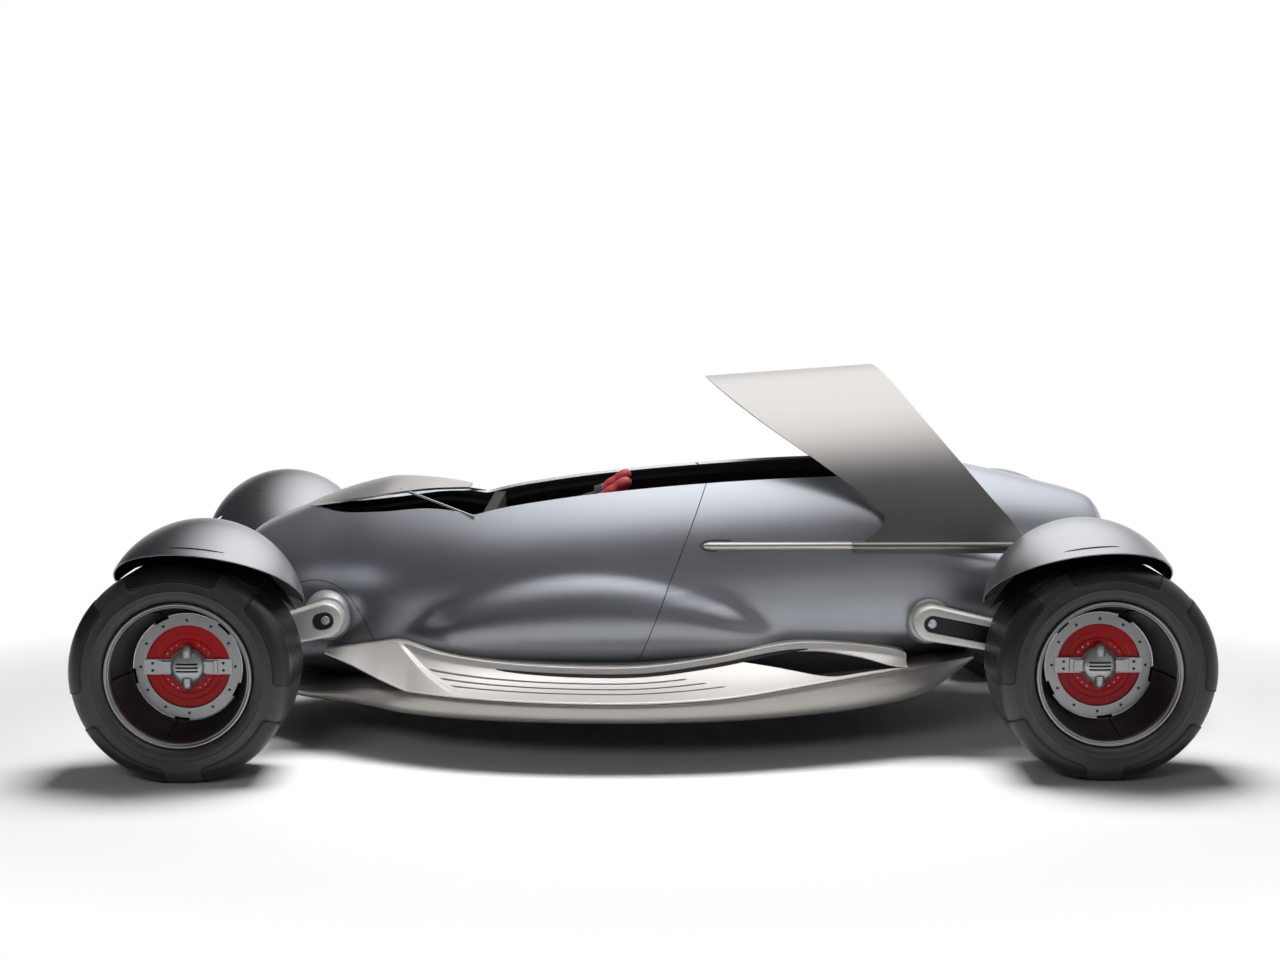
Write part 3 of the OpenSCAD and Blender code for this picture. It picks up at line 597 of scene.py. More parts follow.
def socket_part(at):
    """A domed boss with a flat, a collar ring and the seat of the arm."""
    top = math.acos(SOCKET_FLAT / SOCKET_R)
    arc = [(SOCKET_R * math.sin(t), at[1] + SOCKET_R * math.cos(t)) for t in np.linspace(1.45, top, 14)]
    y = at[1] + SOCKET_FLAT
    lip = SOCKET_R * math.sin(top)
    profile = arc + [(lip - 4, y + 1.5), (72, y + 1.5), (70, y), (70, y - 9), (0, y - 9)]
    return out_from(revolve(profile, 56), at[0], at[2])


skin = clip(capped(body_rings(14, 90)), outside_opening)
front = clip(skin, lambda v: -joint_side(v) - 1.4)
rear = clip(skin, lambda v: joint_side(v) - 1.4)
add("front_body_skin", front, PAINT, replaces="front_body", solid=SKIN, bevel=2.5)
add("rear_body_skin", rear, PAINT, replaces="rear_body", solid=SKIN, bevel=2.5)
backing = clip(clip(skin, lambda v: joint_side(v) + 8), lambda v: 8 - joint_side(v))
add("joint_backing", sunk(backing, 3), SEAM_AND_SHADE, solid=6)
for name, end, side in CORNERS:
    socket = socket_part(FRONT_SOCKET if end < 0 else REAR_SOCKET)
    add(name + "_socket", at_corner(socket, end, side), SOCKET, bevel=1.2, angle=30)


def side_line(name, points, width, lift=0.5):
    """A thin line on both sides of the body, through (x, z) points."""
    xz = stations(np.array(points, float), 10)
    x, z = xz[:, 0], xz[:, 1]
    y = body_side(x, z)
    e = 2.0
    dx = (body_side(x + e, z) - body_side(x - e, z)) / (2 * e)
    dz = (body_side(x, z + e) - body_side(x, z - e)) / (2 * e)
    part = ribbon(np.stack([x, y, z], 1), np.stack([-dx, np.ones_like(x), -dz], 1), width, lift)
    add(name, joined(part, mirrored(part)), SEAM_AND_SHADE)


seam = [(-1210, 566), (-1160, 578), (-1105, 575), (-1040, 546), (-985, 476), (-950, 410), (-934, 374)]
side_line("boss_panel_seam", seam, 2.6)


# Hull, with a trough under the cockpit
TROUGH_END, TROUGH_FADE, FLOOR_T = 1000, 150, 8


def hull_part():
    t = np.linspace(0, 1, 12)
    shares = np.stack([(1 - t)**3, 3 * (1 - t)**2 * t, 3 * (1 - t) * t * t, t**3], 1)
    rings = []
    for x, e, ez, bz, b in stations(HULL, 10):
        bilge = shares @ [[b, bz], [b + (e - b) * 0.62, bz], [e, bz + (ez - bz) * 0.35], [e, ez - 3]]
        sunk_z = ez - (ez - bz - FLOOR_T) * smooth((TROUGH_END - abs(x)) / TROUGH_FADE)
        top = [[e - 3, ez], [0.45 * e, ez], [0.42 * e, sunk_z], [0, sunk_z]]
        side = np.concatenate([[[0, bz]], bilge, top])
        ring = np.concatenate([side, side[-2:0:-1] * [-1, 1]])
        rings.append(at_x(x, ring))
    return capped(rings)


add("hull_skin", hull_part(), HULL_PAINT, replaces="hull", angle=50)


# Side decks
def edge(x, k):
    return np.where(x < -800, np.interp(x, FRONT_EDGE[:, 0], FRONT_EDGE[:, k]), column(HULL, x, k))


def deck_z(x, t):
    sunk_by = STRIP_H * smooth((x + 850 - 210 * t) / 60) * (1 - t * t)
    top = column(DECK, x, 3)
    return top + (edge(x, 2) + 10 - top) * t**0.85 - sunk_by


def deck_part():
    t = np.linspace(0, 1, 41)
    rings = []
    for x, yi, yb, zt in stations(DECK, 14):
        sy = yb + STRIP_W
        ey, ez = max(edge(x, 1), sy + 12), edge(x, 2) + 2.5
        top = np.column_stack([sy + 3 + (ey - 6 - sy) * t, deck_z(x, t)])[::-1]
        z = np.linspace(zt, ez, 9)
        inner = np.column_stack([np.clip(body_side(np.full(9, x), z) - SKIN / 2, yi, yb + 1), z])
        ring = np.concatenate([[[ey - 2, ez], [ey, ez + 2], [ey, ez + 5.5]], top,
                               [[sy, zt - 1.5], [sy - 2, zt], [yb + 2, zt]], inner])
        rings.append(at_x(x, ring))
    return capped(rings)


def slot_line(first, last, share):
    """Points on the deck along a slot."""
    x = np.linspace(first, last, 60)
    y = column(DECK, x, 2) + STRIP_W
    return x, y + (edge(x, 1) - y) * share, deck_z(x, share)


def slot_tool(first, last, share):
    rings = []
    for x, y, z in zip(*slot_line(first, last, share)):
        h = 3.5 * math.sqrt(min(1, (x - first + 1) / 12, (last - x + 1) / 12))
        rings.append([[x, y - h, z - 16], [x, y + h, z - 16], [x, y + h, z + 30], [x, y - h, z + 30]])
    return capped(rings)


def duct_tool(top=500):
    rings = []
    for x, yi, yo in stations(DUCT, 8):
        z = edge(x, 2) + DECK_SEAT + DUCT_WALL
        rings.append([[x, yi, z], [x, yo, z], [x, yo, top], [x, yi, top]])
    return capped(rings)


def duct_shade_sheet():
    """Painted shade inside the duct: a dark sheet just in from its walls."""
    rings = []
    for x, yi, yo in stations(DUCT, 8):
        low = edge(x, 2) + DECK_SEAT + DUCT_WALL + 0.5
        strip = column(DECK, x, 2) + STRIP_W
        inner, outer = yi + 0.5, max(yo - 0.5, yi + 0.6)
        share = np.clip((np.array([outer, inner]) - strip) / (edge(x, 1) - strip), 0, 1)
        high = np.maximum(deck_z(x, share) - 1.5, low + 0.2)
        rings.append([[x, outer, high[0]], [x, outer, low], [x, inner, low], [x, inner, high[1]]])
    return grid(rings, closed=False)


deck = cut_by(deck_part(), *[slot_tool(*s) for s in SLOTS], duct_tool())
add_pair("deck_skin", deck, PALE, "deck", angle=30)
# A dark sheet in each duct: painted shade.
add_pair("duct_shade_sheet", duct_shade_sheet(), SEAM_AND_SHADE)


def slot_shade_strip(first, last, share):
    """Painted shade in a slot: a dark strip just under the deck's top."""
    x, y, z = slot_line(first + 2, last - 2, share)
    p = np.stack([x, y, z - 4], 1)
    return ribbon(p, np.broadcast_to([0, 0, 1.0], p.shape), 8, 0)


def strip_shadow():
    """Painted shadow along the foot of the raised strip: a dark ribbon on the deck."""
    rings = []
    for x in np.linspace(-500, 560, 120):
        strip = column(DECK, x, 2) + STRIP_W
        run = edge(x, 1) - 6 - strip
        wide = 14 * math.sqrt(max(0.0, 1 - ((x - 30) / 535) ** 2))
        t = np.array([wide, wide / 2, 0]) / run
        rings.append(np.stack([np.full(3, x), strip + 3 + run * t, deck_z(x, t) + 0.8], 1))
    return grid(rings, closed=False)


# A dark ribbon under each strip's edge: painted shadow.
add_pair("strip_shadow", strip_shadow(), SEAM_AND_SHADE)
# Dark strips in the slots: painted shade.
add_pair("slot_shade_strips", joined(*[slot_shade_strip(*s) for s in SLOTS]), SEAM_AND_SHADE)


# Visor with its struts
def visor_part():
    t = np.linspace(1, -1, 41)
    rings = []
    for x, w, zr, ze in stations(VISOR, 8):
        top = np.column_stack([w * t, zr + (ze - zr) * np.abs(t) ** 1.6])
        ring = np.concatenate([top, (top * [0.985, 1] - [0, 8])[::-1]])
        rings.append(at_x(x, ring))
    return capped(rings)


add("visor_skin", visor_part(), TRIM, replaces="visor", angle=40)
strut = tube(STRUT[0] + (STRUT[1] - STRUT[0]) * np.linspace(0, 1, 6)[:, None], 5)
add("visor_struts", joined(strut, mirrored(strut)), BRIGHT)


# Hoop
def hoop_part():
    a = np.linspace(math.pi, 0, 161)
    chord = np.concatenate([[0, 0.003, 0.01, 0.025], np.linspace(0.05, 0.95, 31), [0.975, 0.99, 0.997, 1]])
    e = 2 / HOOP_POWER

    def at(a):
        z = HOOP_FOOT + (HOOP_TOP - HOOP_FOOT) * power(np.sin(a), e)
        return np.stack([HOOP_HALF * power(np.cos(a), e), z], -1)

    p = at(a)
    run = at(a - 0.017) - at(a + 0.017)
    n = unit(np.stack([-run[:, 1], run[:, 0]], 1))
    lead = column(HOOP, p[:, 1], 1)
    trail = column(HOOP, p[:, 1], 2)
    thick = HOOP_T * (0.16 + 0.84 * np.sqrt(np.sin(np.pi * chord).clip(0)))
    rings = []
    for (y, z), (ny, nz), l, r in zip(p, n, lead, trail):
        x = l + (r - l) * chord
        tilt = HOOP_TILT * smooth((z - 900) / (HOOP_TOP - 900)) * (chord - 0.75)
        outer = np.column_stack([x, np.full(len(x), y), z + tilt])
        inner = np.column_stack([x, y - ny * thick, z - nz * thick + tilt])
        rings.append(np.concatenate([outer, inner[::-1]]))
    return capped(rings)


add("hoop_skin", hoop_part(), WARM, replaces="hoop", angle=50)
bead = tube([(x, HOOP_HALF - 4, RAIL_Z) for x in np.linspace(712, 1290, 12)], 15, 24)
add("hoop_beads", joined(bead, mirrored(bead)), WARM)

# Side rails, each in a rounded recess
rail_x = np.linspace(205, 712, 40)
rail_r = 13 * np.sqrt(np.clip((rail_x - 198) / 26, 0, 1))
rail_z = np.full(40, RAIL_Z)
rail = tube(np.stack([rail_x, body_side(rail_x, rail_z) + 4, rail_z], 1), rail_r, 20)
add_pair("rail_bar", rail, TRIM, "rail")
loop = [(x, RAIL_Z + z) for x, z in ((300, 17), (250, 18), (212, 14), (194, 0), (212, -15), (250, -18))]
side_line("rail_recess", loop, 3.2, 0.6)


# Fairing
def fairing_part():
    a = np.linspace(0, math.pi, 49)
    rings = []
    for x, w, z0, z1 in stations(FAIRING, 10):
        y = w * power(np.cos(a), 2 / 2.6)
        z = z0 + (z1 - z0) * np.sin(a).clip(0) ** (2 / 2.6)
        rings.append(at_x(x, np.column_stack([y, z])))
    return capped(rings)


add("fairing_skin", fairing_part(), PAINT, replaces="tail_fairing", angle=40)


# Mudguards
upright = math.cos(DOME_LEAN)
DOME_AXIS = np.array([-upright * math.sin(DOME_PITCH), -math.sin(DOME_LEAN), upright * math.cos(DOME_PITCH)])


def dome_part():
    """The dome, cut off level and clear of the tyre, and the dark slit along its edge."""
    n = DOME_AXIS
    c = np.array(DOME)
    u = unit(np.cross([0, 1.0, 0], n))
    w = np.cross(n, u)

    def direction(t, k):
        return math.sin(t) * (math.cos(k) * u + math.sin(k) * w) + math.cos(t) * n

    rim = math.acos(DOME_CUT / DOME_R)
    polar = np.linspace(rim, 0.02, 46)
    v, faces = grid([[c + DOME_R * direction(t, k) for k in turn(120)] for t in polar])
    faces.append(tuple(range(len(v) - 120, len(v))))
    part = clip((v, faces), lambda v: v[:, 2] - DOME_LOW)

    def off_tyre(v):
        r = np.hypot(v[:, 0] - AXLE_X, v[:, 2] - TYRE_R) - TYRE_R - TYRE_ROOM
        return np.maximum(r, WHEEL_Y - TYRE_W / 2 - TYRE_ROOM - v[:, 1])

    q = np.linspace(0, 1, 30)
    slit = np.array([direction(rim - 0.088, math.radians(90 + 17 * (2 * f - 1))) for f in q])
    line = ribbon(c + DOME_R * slit, slit, 5 * np.sqrt(np.sin(np.pi * q).clip(0.02)), 1)
    return clip(part, off_tyre), line


def dome_shade_sheet():
    """Painted shade under a mudguard: a dark sheet that closes it underneath, over the tyre, with a dark
    strip along its inner edge.
    """
    r = TYRE_R + TYRE_ROOM + 1
    a = np.radians(np.linspace(15, 165, 120))
    c = np.array(DOME)

    def round_tyre(angles, places):
        return grid([[(AXLE_X + k * math.cos(t), y, TYRE_R + k * math.sin(t)) for k, y in places]
                     for t in angles], closed=False)

    part = round_tyre(a, [(r, y) for y in np.linspace(WHEEL_Y - TYRE_W / 2, WHEEL_Y + TYRE_W / 2, 60)])
    part = clip(part, lambda v: DOME_R - DOME_T - 1 - np.linalg.norm(v - c, axis=1))
    part = clip(part, lambda v: (v - c) @ DOME_AXIS - DOME_CUT)
    inner_shade_strip = round_tyre(a[:60], [(r + 2, WHEEL_Y - 98), (r - 4.6, WHEEL_Y - 98)])
    return joined(part, clip(inner_shade_strip, lambda v: DOME_R + 18 - np.linalg.norm(v - c, axis=1)))


dome, dome_slit = dome_part()
STAY_HALF, STAY_IN, STAY_OUT, STAY_LOW = 23, 570, 579, 432.4
across = DOME[1] - (STAY_IN + STAY_OUT) / 2
stay_top = DOME[2] + math.sqrt((DOME_R - 4) ** 2 - (AXLE_X - DOME[0]) ** 2 - across**2)
stay = box(AXLE_X - STAY_HALF, AXLE_X + STAY_HALF, STAY_IN, STAY_OUT, STAY_LOW, stay_top)
# The mudguards' inner faces are dark: painted shade under the domes.
add_four("mudguard_skin", dome, GUARD, node="mudguard", solid=DOME_T, bevel=1.5, inside=SEAM_AND_SHADE)
# A dark sheet over each tyre: painted shade under the mudguard.
add_four("mudguard_shade_sheet", dome_shade_sheet(), SEAM_AND_SHADE)
add_four("mudguard_stay", stay, DARK, bevel=2)
add_four("mudguard_slit", dome_slit, SEAM_AND_SHADE)


# Tyres: straight ribs, and shoulder blocks with a groove round each
BLOCKS, BLOCK_START, BLOCK_HALF, BLOCK_IN, BLOCK_ROUND, BLOCK_R = 5, math.radians(16), 146, 88, 18, 330
RIB_PLACES = (-78, -52, -26, 0, 26, 52, 78)


def arc(cx, cy, r, start, end, count):
    """Points on part of a circle, between two angles in degrees."""
    return [(cx + r * math.cos(t), cy + r * math.sin(t)) for t in np.radians(np.linspace(start, end, count))]


def run_of(line):
    """Distance of each point along a line."""
    return np.concatenate([[0], np.cumsum(np.linalg.norm(np.diff(line, axis=0), axis=1))])


def tyre_profile():
    """(radius, along) points from the inner bead round the tread to the outer bead."""
    half = TYRE_W / 2
    side = arc(269.9, -122, 31, 180, 270, 9) + [(276, -half), (278, -half - 1.2), (281, -half), (292, -half)]
    side += arc(TYRE_R - SHOULDER_R, -98, SHOULDER_R, -90, 0, 20)
    ribs = []
    for g in RIB_PLACES:
        ribs += [(TYRE_R, g - 2.4), (TYRE_R - 3, g - 1.7), (TYRE_R - 3, g + 1.7), (TYRE_R, g + 2.4)]
    return np.array(side + ribs + [(r, -u) for r, u in side[::-1]])


PROFILE = tyre_profile()
PATH = run_of(PROFILE)


def on_tyre(angle, s):
    """Point and outward normal on the smooth tyre at an angle and a distance along its profile."""
    def at(s):
        return np.array([np.interp(s, PATH, PROFILE[:, k]) for k in (0, 1)])

    r, u = at(s)
    dr, du = at(s + 3) - at(s - 3)
    k = np.hypot(dr, du)
    nr, nu = du / k, -dr / k
    c, q = np.cos(angle), np.sin(angle)
    one = np.ones_like(r * c)
    return np.stack([r * c, r * q, (WHEEL_Y + u) * one], -1), np.stack([nr * c, nr * q, nu * one], -1)


def tyre_part(steps=288):
    """The tyre's sides and its blocks, on one set of points."""
    a = turn(steps)[:, None]
    s = PATH[None, :]
    p, n = on_tyre(a, s)
    period = 2 * np.pi / BLOCKS
    off = np.abs((a - BLOCK_START + period / 2) % period - period / 2) * BLOCK_R
    edge_s = np.minimum(s, PATH[-1] - s)
    qx, qy = off - BLOCK_HALF + BLOCK_ROUND, BLOCK_IN + BLOCK_ROUND - edge_s
    d = np.hypot(np.maximum(qx, 0), np.maximum(qy, 0)) + np.minimum(np.maximum(qx, qy), 0) - BLOCK_ROUND
    lower = 3.2 * smooth(d / 6 + 0.5) * smooth((edge_s - 60) / 25) * (1 - smooth((edge_s - 178) / 20))
    p = p - n * lower[..., None]
    v, faces = grid(p.swapaxes(0, 1))
    q = d.T.ravel()
    on_block = [q[f[0]] + q[f[2]] < 0 for f in faces]
    return [(v, [f for f, on in zip(faces, on_block) if on == wanted]) for wanted in (False, True)]


def block_grooves():
    """A dark line round each block."""
    mid = PATH[-1] / 2
    a, b = BLOCK_HALF - BLOCK_ROUND, mid - BLOCK_IN - BLOCK_ROUND
    line = []
    for x, y, t in ((a, b, 0), (-a, b, 90), (-a, -b, 180), (a, -b, 270)):
        line += arc(x, y, BLOCK_ROUND, t, t + 90, 8)
    line = np.array(line + line[:1])
    run = run_of(line)
    x, s = (np.interp(np.linspace(0, run[-1], 300), run, line[:, k]) for k in (0, 1))
    places = [on_tyre(BLOCK_START + k + x / BLOCK_R, mid + s) for k in turn(BLOCKS)]
    return joined(*[ribbon(*at, 4.2, 0.3) for at in places])


# Rims: bright lip, dark barrel and curved panels, as (radius, distance out from the wheel's middle)
def rim_parts():
    lip = [(238.5, 123), (238.5, 137), (237.5, 140.5), (235, 142), (231, 142), (228.6, 140.5),
           (227.8, 137.5), (226.8, 136.6), (225.4, 137.6), (223.6, 137.6), (222.3, 136.2), (221.6, 133),
           (221.6, 112)]
    barrel = [(221.6, 112), (221.6, -50), (216, -56), (178, -56)]
    outside = [(178, -71), (214, -71), (220, -76), (220, -142), (238.5, -142), (238.5, -123)]
    panel = [(220.4, 118), (218, 92), (213.5, 62), (207, 34), (199, 12), (190, -4), (183, -11)]
    fine = stations(np.array(panel), 3)
    share = np.linspace(0, 1, 49)[:, None]
    r = fine[:, 0] - 3.2 * share
    panels = []
    for k in range(5):
        a = np.radians(-4.5 + 72 * k + 71 * share)
        rings = np.stack([r * np.cos(a), r * np.sin(a), np.broadcast_to(fine[:, 1], r.shape)], 2)
        panels.append(flipped(grid(rings, closed=False)))
    parts = revolve(lip, 160), joined(revolve(barrel, 96), revolve(outside, 96)), joined(*panels)
    return [moved(p, (0, 0, WHEEL_Y)) for p in parts]


# Motor faces
TABS, TAB_TURN, TAB_GAP = 5, math.radians(-10), math.radians(16)


def annulus(inner, outer, z0, z1):
    """A flat ring between two outlines of the same count."""
    corners = (inner, z0), (outer, z0), (outer, z1), (inner, z1), (inner, z0)
    return grid([at_z(*c) for c in corners])


def circle_of(part, radius, degrees):
    return [moved(part, (radius * math.cos(t), radius * math.sin(t), 0)) for t in np.radians(degrees)]


def face_parts():
    """Pieces of a motor face and its cover, with the face at height 0."""
    angles, radii, beads = [], [], []
    for k in turn(TABS):
        g0 = TAB_TURN + k + TAB_GAP / 2
        g1 = g0 + 2 * np.pi / TABS - TAB_GAP
        space = np.linspace(g1 + 0.002, g1 + TAB_GAP - 0.002, 12)[:-1]
        angles += [g0 - 0.002, *np.linspace(g0, g1, 57), *space]
        radii += [BEARING_R] + [BEARING_R + 10] * 57 + [BEARING_R] * 11
        t = np.linspace(g0 + 0.02, g1 - 0.02, 40)
        beads.append(tube(np.stack([178.6 * np.cos(t), 178.6 * np.sin(t), np.full(40, 0.6)], 1), 2.9, 10))
    circle = np.stack([np.cos(angles), np.sin(angles)], 1)
    bars = [box(*sorted((50 * s, reach * s)), -half, half, low, high) for s in (-1, 1)
            for reach, half, low, high in ((146, 26, -6, 1.5), (98, 22, 0, 6), (84, 19, 0, 11))]
    dome = revolve([(0, -6), (62, -6), (62, 4), (59, 7), (57, 9), (53, 14), (46, 18), (36, 21), (24, 23),
                    (12, 24.2), (0, 24.6)], 72)
    cuts = [box(-37 + abs(n), 37 - abs(n), 12 * n - 3.2, 12 * n + 3.2, 12, 60) for n in (-1, 0, 1)]
    y = np.linspace(34, 78, 14)
    lobe_r = 18 * np.sqrt(np.clip(1 - np.clip((y - 56) / 22, 0, 1) ** 2, 0.0004, 1))
    lobes = [tube(np.stack([0 * y, s * y, np.full(14, 11)], 1), lobe_r, 20) for s in (-1, 1)]
    bolt = revolve([(0, -1), (5, -1), (5, 2), (4, 3), (0, 3)], 6)
    bolts = circle_of(bolt, 155, range(0, 360, 30))
    bolts += [moved(bolt, (s * 116, y, 1.5)) for s in (-1, 1) for y in (-12, 12)]
    slots = [box(-36, 36, 12 * n - 3, 12 * n + 3, 8, 13) for n in (-1, 0, 1)]
    small = revolve([(0, -7), (2.6, -7), (2.6, -3.6), (1.8, -3), (0, -3)], 8)
    red_bolts = circle_of(small, 80, [33, 48, 63, 117, 132, 147, 213, 228, 243, 297, 312, 327])
    r = COVER_R - 0.6
    cover = revolve([(0, -RING_T), (r, -RING_T), (r, -8), (r - 2.4, -6.4), (112, -6.4), (108, -8.6),
                     (92, -8.6), (88, -6.4), (0, -6.4)], 96)
    ring = annulus(COVER_R * circle, np.array(radii)[:, None] * circle, -RING_T, 0)
    return dict(ring=ring, beads=joined(*beads), bars=joined(*bars), cap=cut_by(dome, *cuts), cover=cover,
                lobes=joined(*lobes), bolts=joined(*bolts, *slots), red_bolts=joined(*red_bolts))


wheel = [out_from(p, AXLE_X, TYRE_R) for p in (*tyre_part(), block_grooves(), *rim_parts())]
face = {k: out_from(moved(p, (0, 0, FACE_Y)), AXLE_X, TYRE_R) for k, p in face_parts().items()}
add_four("tyre_rubber", wheel[0], TYRE, True, "tyre", angle=32)
add_four("tyre_blocks", wheel[1], TREAD, True, angle=32)
add_four("tyre_grooves", wheel[2], SEAM_AND_SHADE, True)
add_four("rim_lip", wheel[3], FACE, True, "rim", angle=50)
add_four("rim_barrel", wheel[4], DARK, True)
add_four("rim_panels", wheel[5], RIM, True, solid=3, bevel=0.8)
add_four("face_ring", face["ring"], FACE, node="motor_face", bevel=1.2)
add_four("face_beads", face["beads"], BRIGHT)
add_four("face_bars", face["bars"], SATIN, bevel=1.4)
add_four("face_cap", face["cap"], SATIN, angle=30)
add_four("face_lobes", face["lobes"], SATIN)
add_four("face_bolts", face["bolts"], DARK)
add_four("cover_disc", face["cover"], RED, node="cover", angle=25)
add_four("cover_bolts", face["red_bolts"], BRIGHT)


# Arms
PIN_Y = WHEEL_Y - 140


def arm_parts(at, recess_len):
    """A link from its socket to the kingpin, the dark floor of its recess, and the bolt there."""
    root, tip = 62, 40
    in_y = at[1] + SOCKET_FLAT - 9.6
    out_y = in_y + 68
    reach, rise = AXLE_X - at[0], TYRE_R - at[2]
    x = at[0] - root + (reach + root + tip) * (1 - np.cos(np.linspace(0, np.pi, 60))) / 2
    top, low = np.full(60, -1e9), np.full(60, 1e9)
    for f in np.linspace(0, 1, 200):
        cx, cz, r = at[0] + reach * f, at[2] + rise * f, root + (tip - root) * f
        h = np.sqrt(np.clip(r * r - (x - cx) ** 2, 0, None))
        near = np.abs(x - cx) <= r + 1e-6
        top = np.where(near, np.maximum(top, cz + h), top)
        low = np.where(near, np.minimum(low, cz - h), low)
    inner = np.interp(x, [at[0] + root, at[0] + 0.6 * reach, AXLE_X + 80], [in_y, in_y + 30, PIN_Y - 58])
    outer = np.interp(x, [at[0] + root, at[0] + 0.62 * reach, AXLE_X - tip], [out_y, out_y + 16, PIN_Y])
    for y in (inner, outer):
        for _ in range(4):
            y[1:-1] = (y[:-2] + y[1:-1] + y[2:]) / 3
    rings = []
    for a, y0, y1, z1, z0 in zip(x, inner, outer, top, low):
        r = min(13, (z1 - z0) * 0.49, (y1 - y0) * 0.49)
        ring = []
        for y, z, t in ((y1 - r, z0 + r, -90), (y1 - r, z1 - r, 0),
                        (y0 + r, z1 - r, 90), (y0 + r, z0 + r, 180)):
            ring += arc(y, z, r, t, t + 90, 6)
        rings.append(at_x(a, ring))
    outline = np.array(arc(0, 0, 30, 90, 270, 20) + arc(recess_len, 0, 30, -90, 90, 20))

    def pocket(size, y0, y1):
        prism = moved(extruded(outline * size, y0, y1), (0, 0, 0), math.atan2(rise, reach))
        return out_from(prism, at[0], at[2])

    bolt = joined(revolve([(0, 0), (15, 0), (15, 5), (13, 6.5), (0, 6.5)], 28),
                  revolve([(0, 6), (8.5, 6), (8.5, 11), (7, 12), (0, 12)], 6))
    bolt = out_from(moved(bolt, (0, 0, out_y - 11.4)), at[0], at[2])
    link = cut_by(capped(rings), pocket(1, out_y - 12, out_y + 60))
    return link, pocket(0.985, out_y - 13, out_y - 11.4), bolt


def pin(r, z0, z1, steps):
    return moved(revolve([(0, z0), (r, z0), (r, z1), (0, z1)], steps), (AXLE_X, PIN_Y, TYRE_R))


for end, at, label, recess_len in ((-1, FRONT_SOCKET, "front", 16), (1, REAR_SOCKET, "rear", 330)):
    arm, floor, bolt = arm_parts(at, recess_len)
    if end < 0:
        arm = joined(arm, pin(18, -72, -40, 32), pin(18, 40, 72, 32), pin(32, -41, 41, 40))
    for side, hand in SIDES:
        name = f"{label}_{hand}_arm"
        add(name + "_link", at_corner(arm, end, side), PALE, replaces=name, angle=35)
        add(name + "_recess", at_corner(floor, end, side), DARK)
        add(name + "_bolt", at_corner(bolt, end, side), BRIGHT, angle=30)


# Seat and yoke
def pad(half, channels, square=0.36, depth=6, steps=56):
    """A padded block: a rounded box with crowned faces and sewn channels across its top."""
    u = np.linspace(-np.pi / 2, np.pi / 2, steps)[:, None]
    v = np.linspace(-np.pi, np.pi, 2 * steps, endpoint=False)[None, :]
    x = power(np.cos(u), square) * power(np.cos(v), square)
    y = power(np.cos(u), square) * power(np.sin(v), square)
    z = power(np.sin(u), square) * np.ones_like(v)
    crown = 0.10 * half[2] * (1 - x**2) * (1 - y**2) * np.sign(z) * (np.abs(z) > 0.5)
    groove = np.abs(np.cos(np.pi * (x + 1) / 2 * channels)) ** 0.35
    sewn = depth * (1 - groove) * (z > 0.3) * (1 - np.abs(y) ** 6)
    return grid(np.stack([x * half[0], y * half[1], z * half[2] + crown - sewn], 2))


def padded(name, part, node=None):
    add(name, part, LEATHER, replaces=node, angle=80)


SEAT_X, SEAT_Z, CUSHION, BACK, BACK_LEAN = 90, 292, 400, 560, math.radians(28)
hinge = np.array([SEAT_X + CUSHION, 0, SEAT_Z + 35])
tilt = math.atan2(22, CUSHION)
cushion = moved(pad((205, 186, 36), 5), (SEAT_X + CUSHION / 2 - 6, 0, SEAT_Z + 46), tilt, 1)
back = moved(pad((262, 186, 33), 6), (0, 0, 0), -(math.pi / 2 - BACK_LEAN), 1)
back = moved(back, hinge + np.array([math.sin(BACK_LEAN), 0, math.cos(BACK_LEAN)]) * (BACK / 2 + 20))
padded("seat_cushion", cushion, "seat")
padded("seat_back", back)
path = stations(np.array([
    (SEAT_X - 6, SEAT_Z + 57), (SEAT_X + 160, SEAT_Z + 48), (SEAT_X + CUSHION - 40, SEAT_Z + 42),
    (hinge[0] + 30, SEAT_Z + 95), (hinge[0] + 150, SEAT_Z + 300), (hinge[0] + 262, SEAT_Z + 520)]), 12)
way = unit(np.gradient(path, axis=0))
share = np.linspace(0, 1, len(path))
size = np.sqrt(np.clip(np.minimum(share, 1 - share) / 0.045, 0.01, 1))
a = turn(24)
for side, hand in SIDES:
    rings = []
    for (x, z), (tx, tz), k in zip(path, way, size):
        y = side * 214 + 26 * k * power(np.cos(a), 0.75)
        h = 58 * k * power(np.sin(a), 0.75)
        rings.append(np.stack([x - tz * h, y, z + tx * h], 1))
    padded(f"seat_{hand}_bolster", capped(rings))

COLUMN_TILT = math.atan2(832 - 726, 520 - 165)
YOKE_AT = np.array([-165.0, 0, 832])
GRIP_LEAN, GRIP_LEN, GRIP_DROP, GRIP_R = math.radians(72), 115, 10, 24


def on_yoke(part):
    return moved(part, YOKE_AT, -COLUMN_TILT, 1)


def grip_part():
    """A padded grip with finger waists, along its own Z axis."""
    half = GRIP_LEN / 2
    middle = half - GRIP_DROP
    z = middle - np.cos(np.linspace(0, np.pi, 60)) * (half + GRIP_R)
    end = np.clip((half + GRIP_R - np.abs(z - middle)) / GRIP_R, 0, 1)
    waist = 1 + 0.05 * np.cos(z / GRIP_LEN * 5 * np.pi)
    r = GRIP_R * np.sqrt(np.clip(1 - (1 - end) ** 2, 0.001, 1)) * waist
    a = turn(36)
    crease = 1 - 0.05 * np.exp(-((np.abs(a - np.pi)) / 0.16) ** 2)
    ring = np.stack([crease * np.cos(a), crease * np.sin(a)], 1)
    return capped([at_z(ring * k, h) for k, h in zip(r, z)])


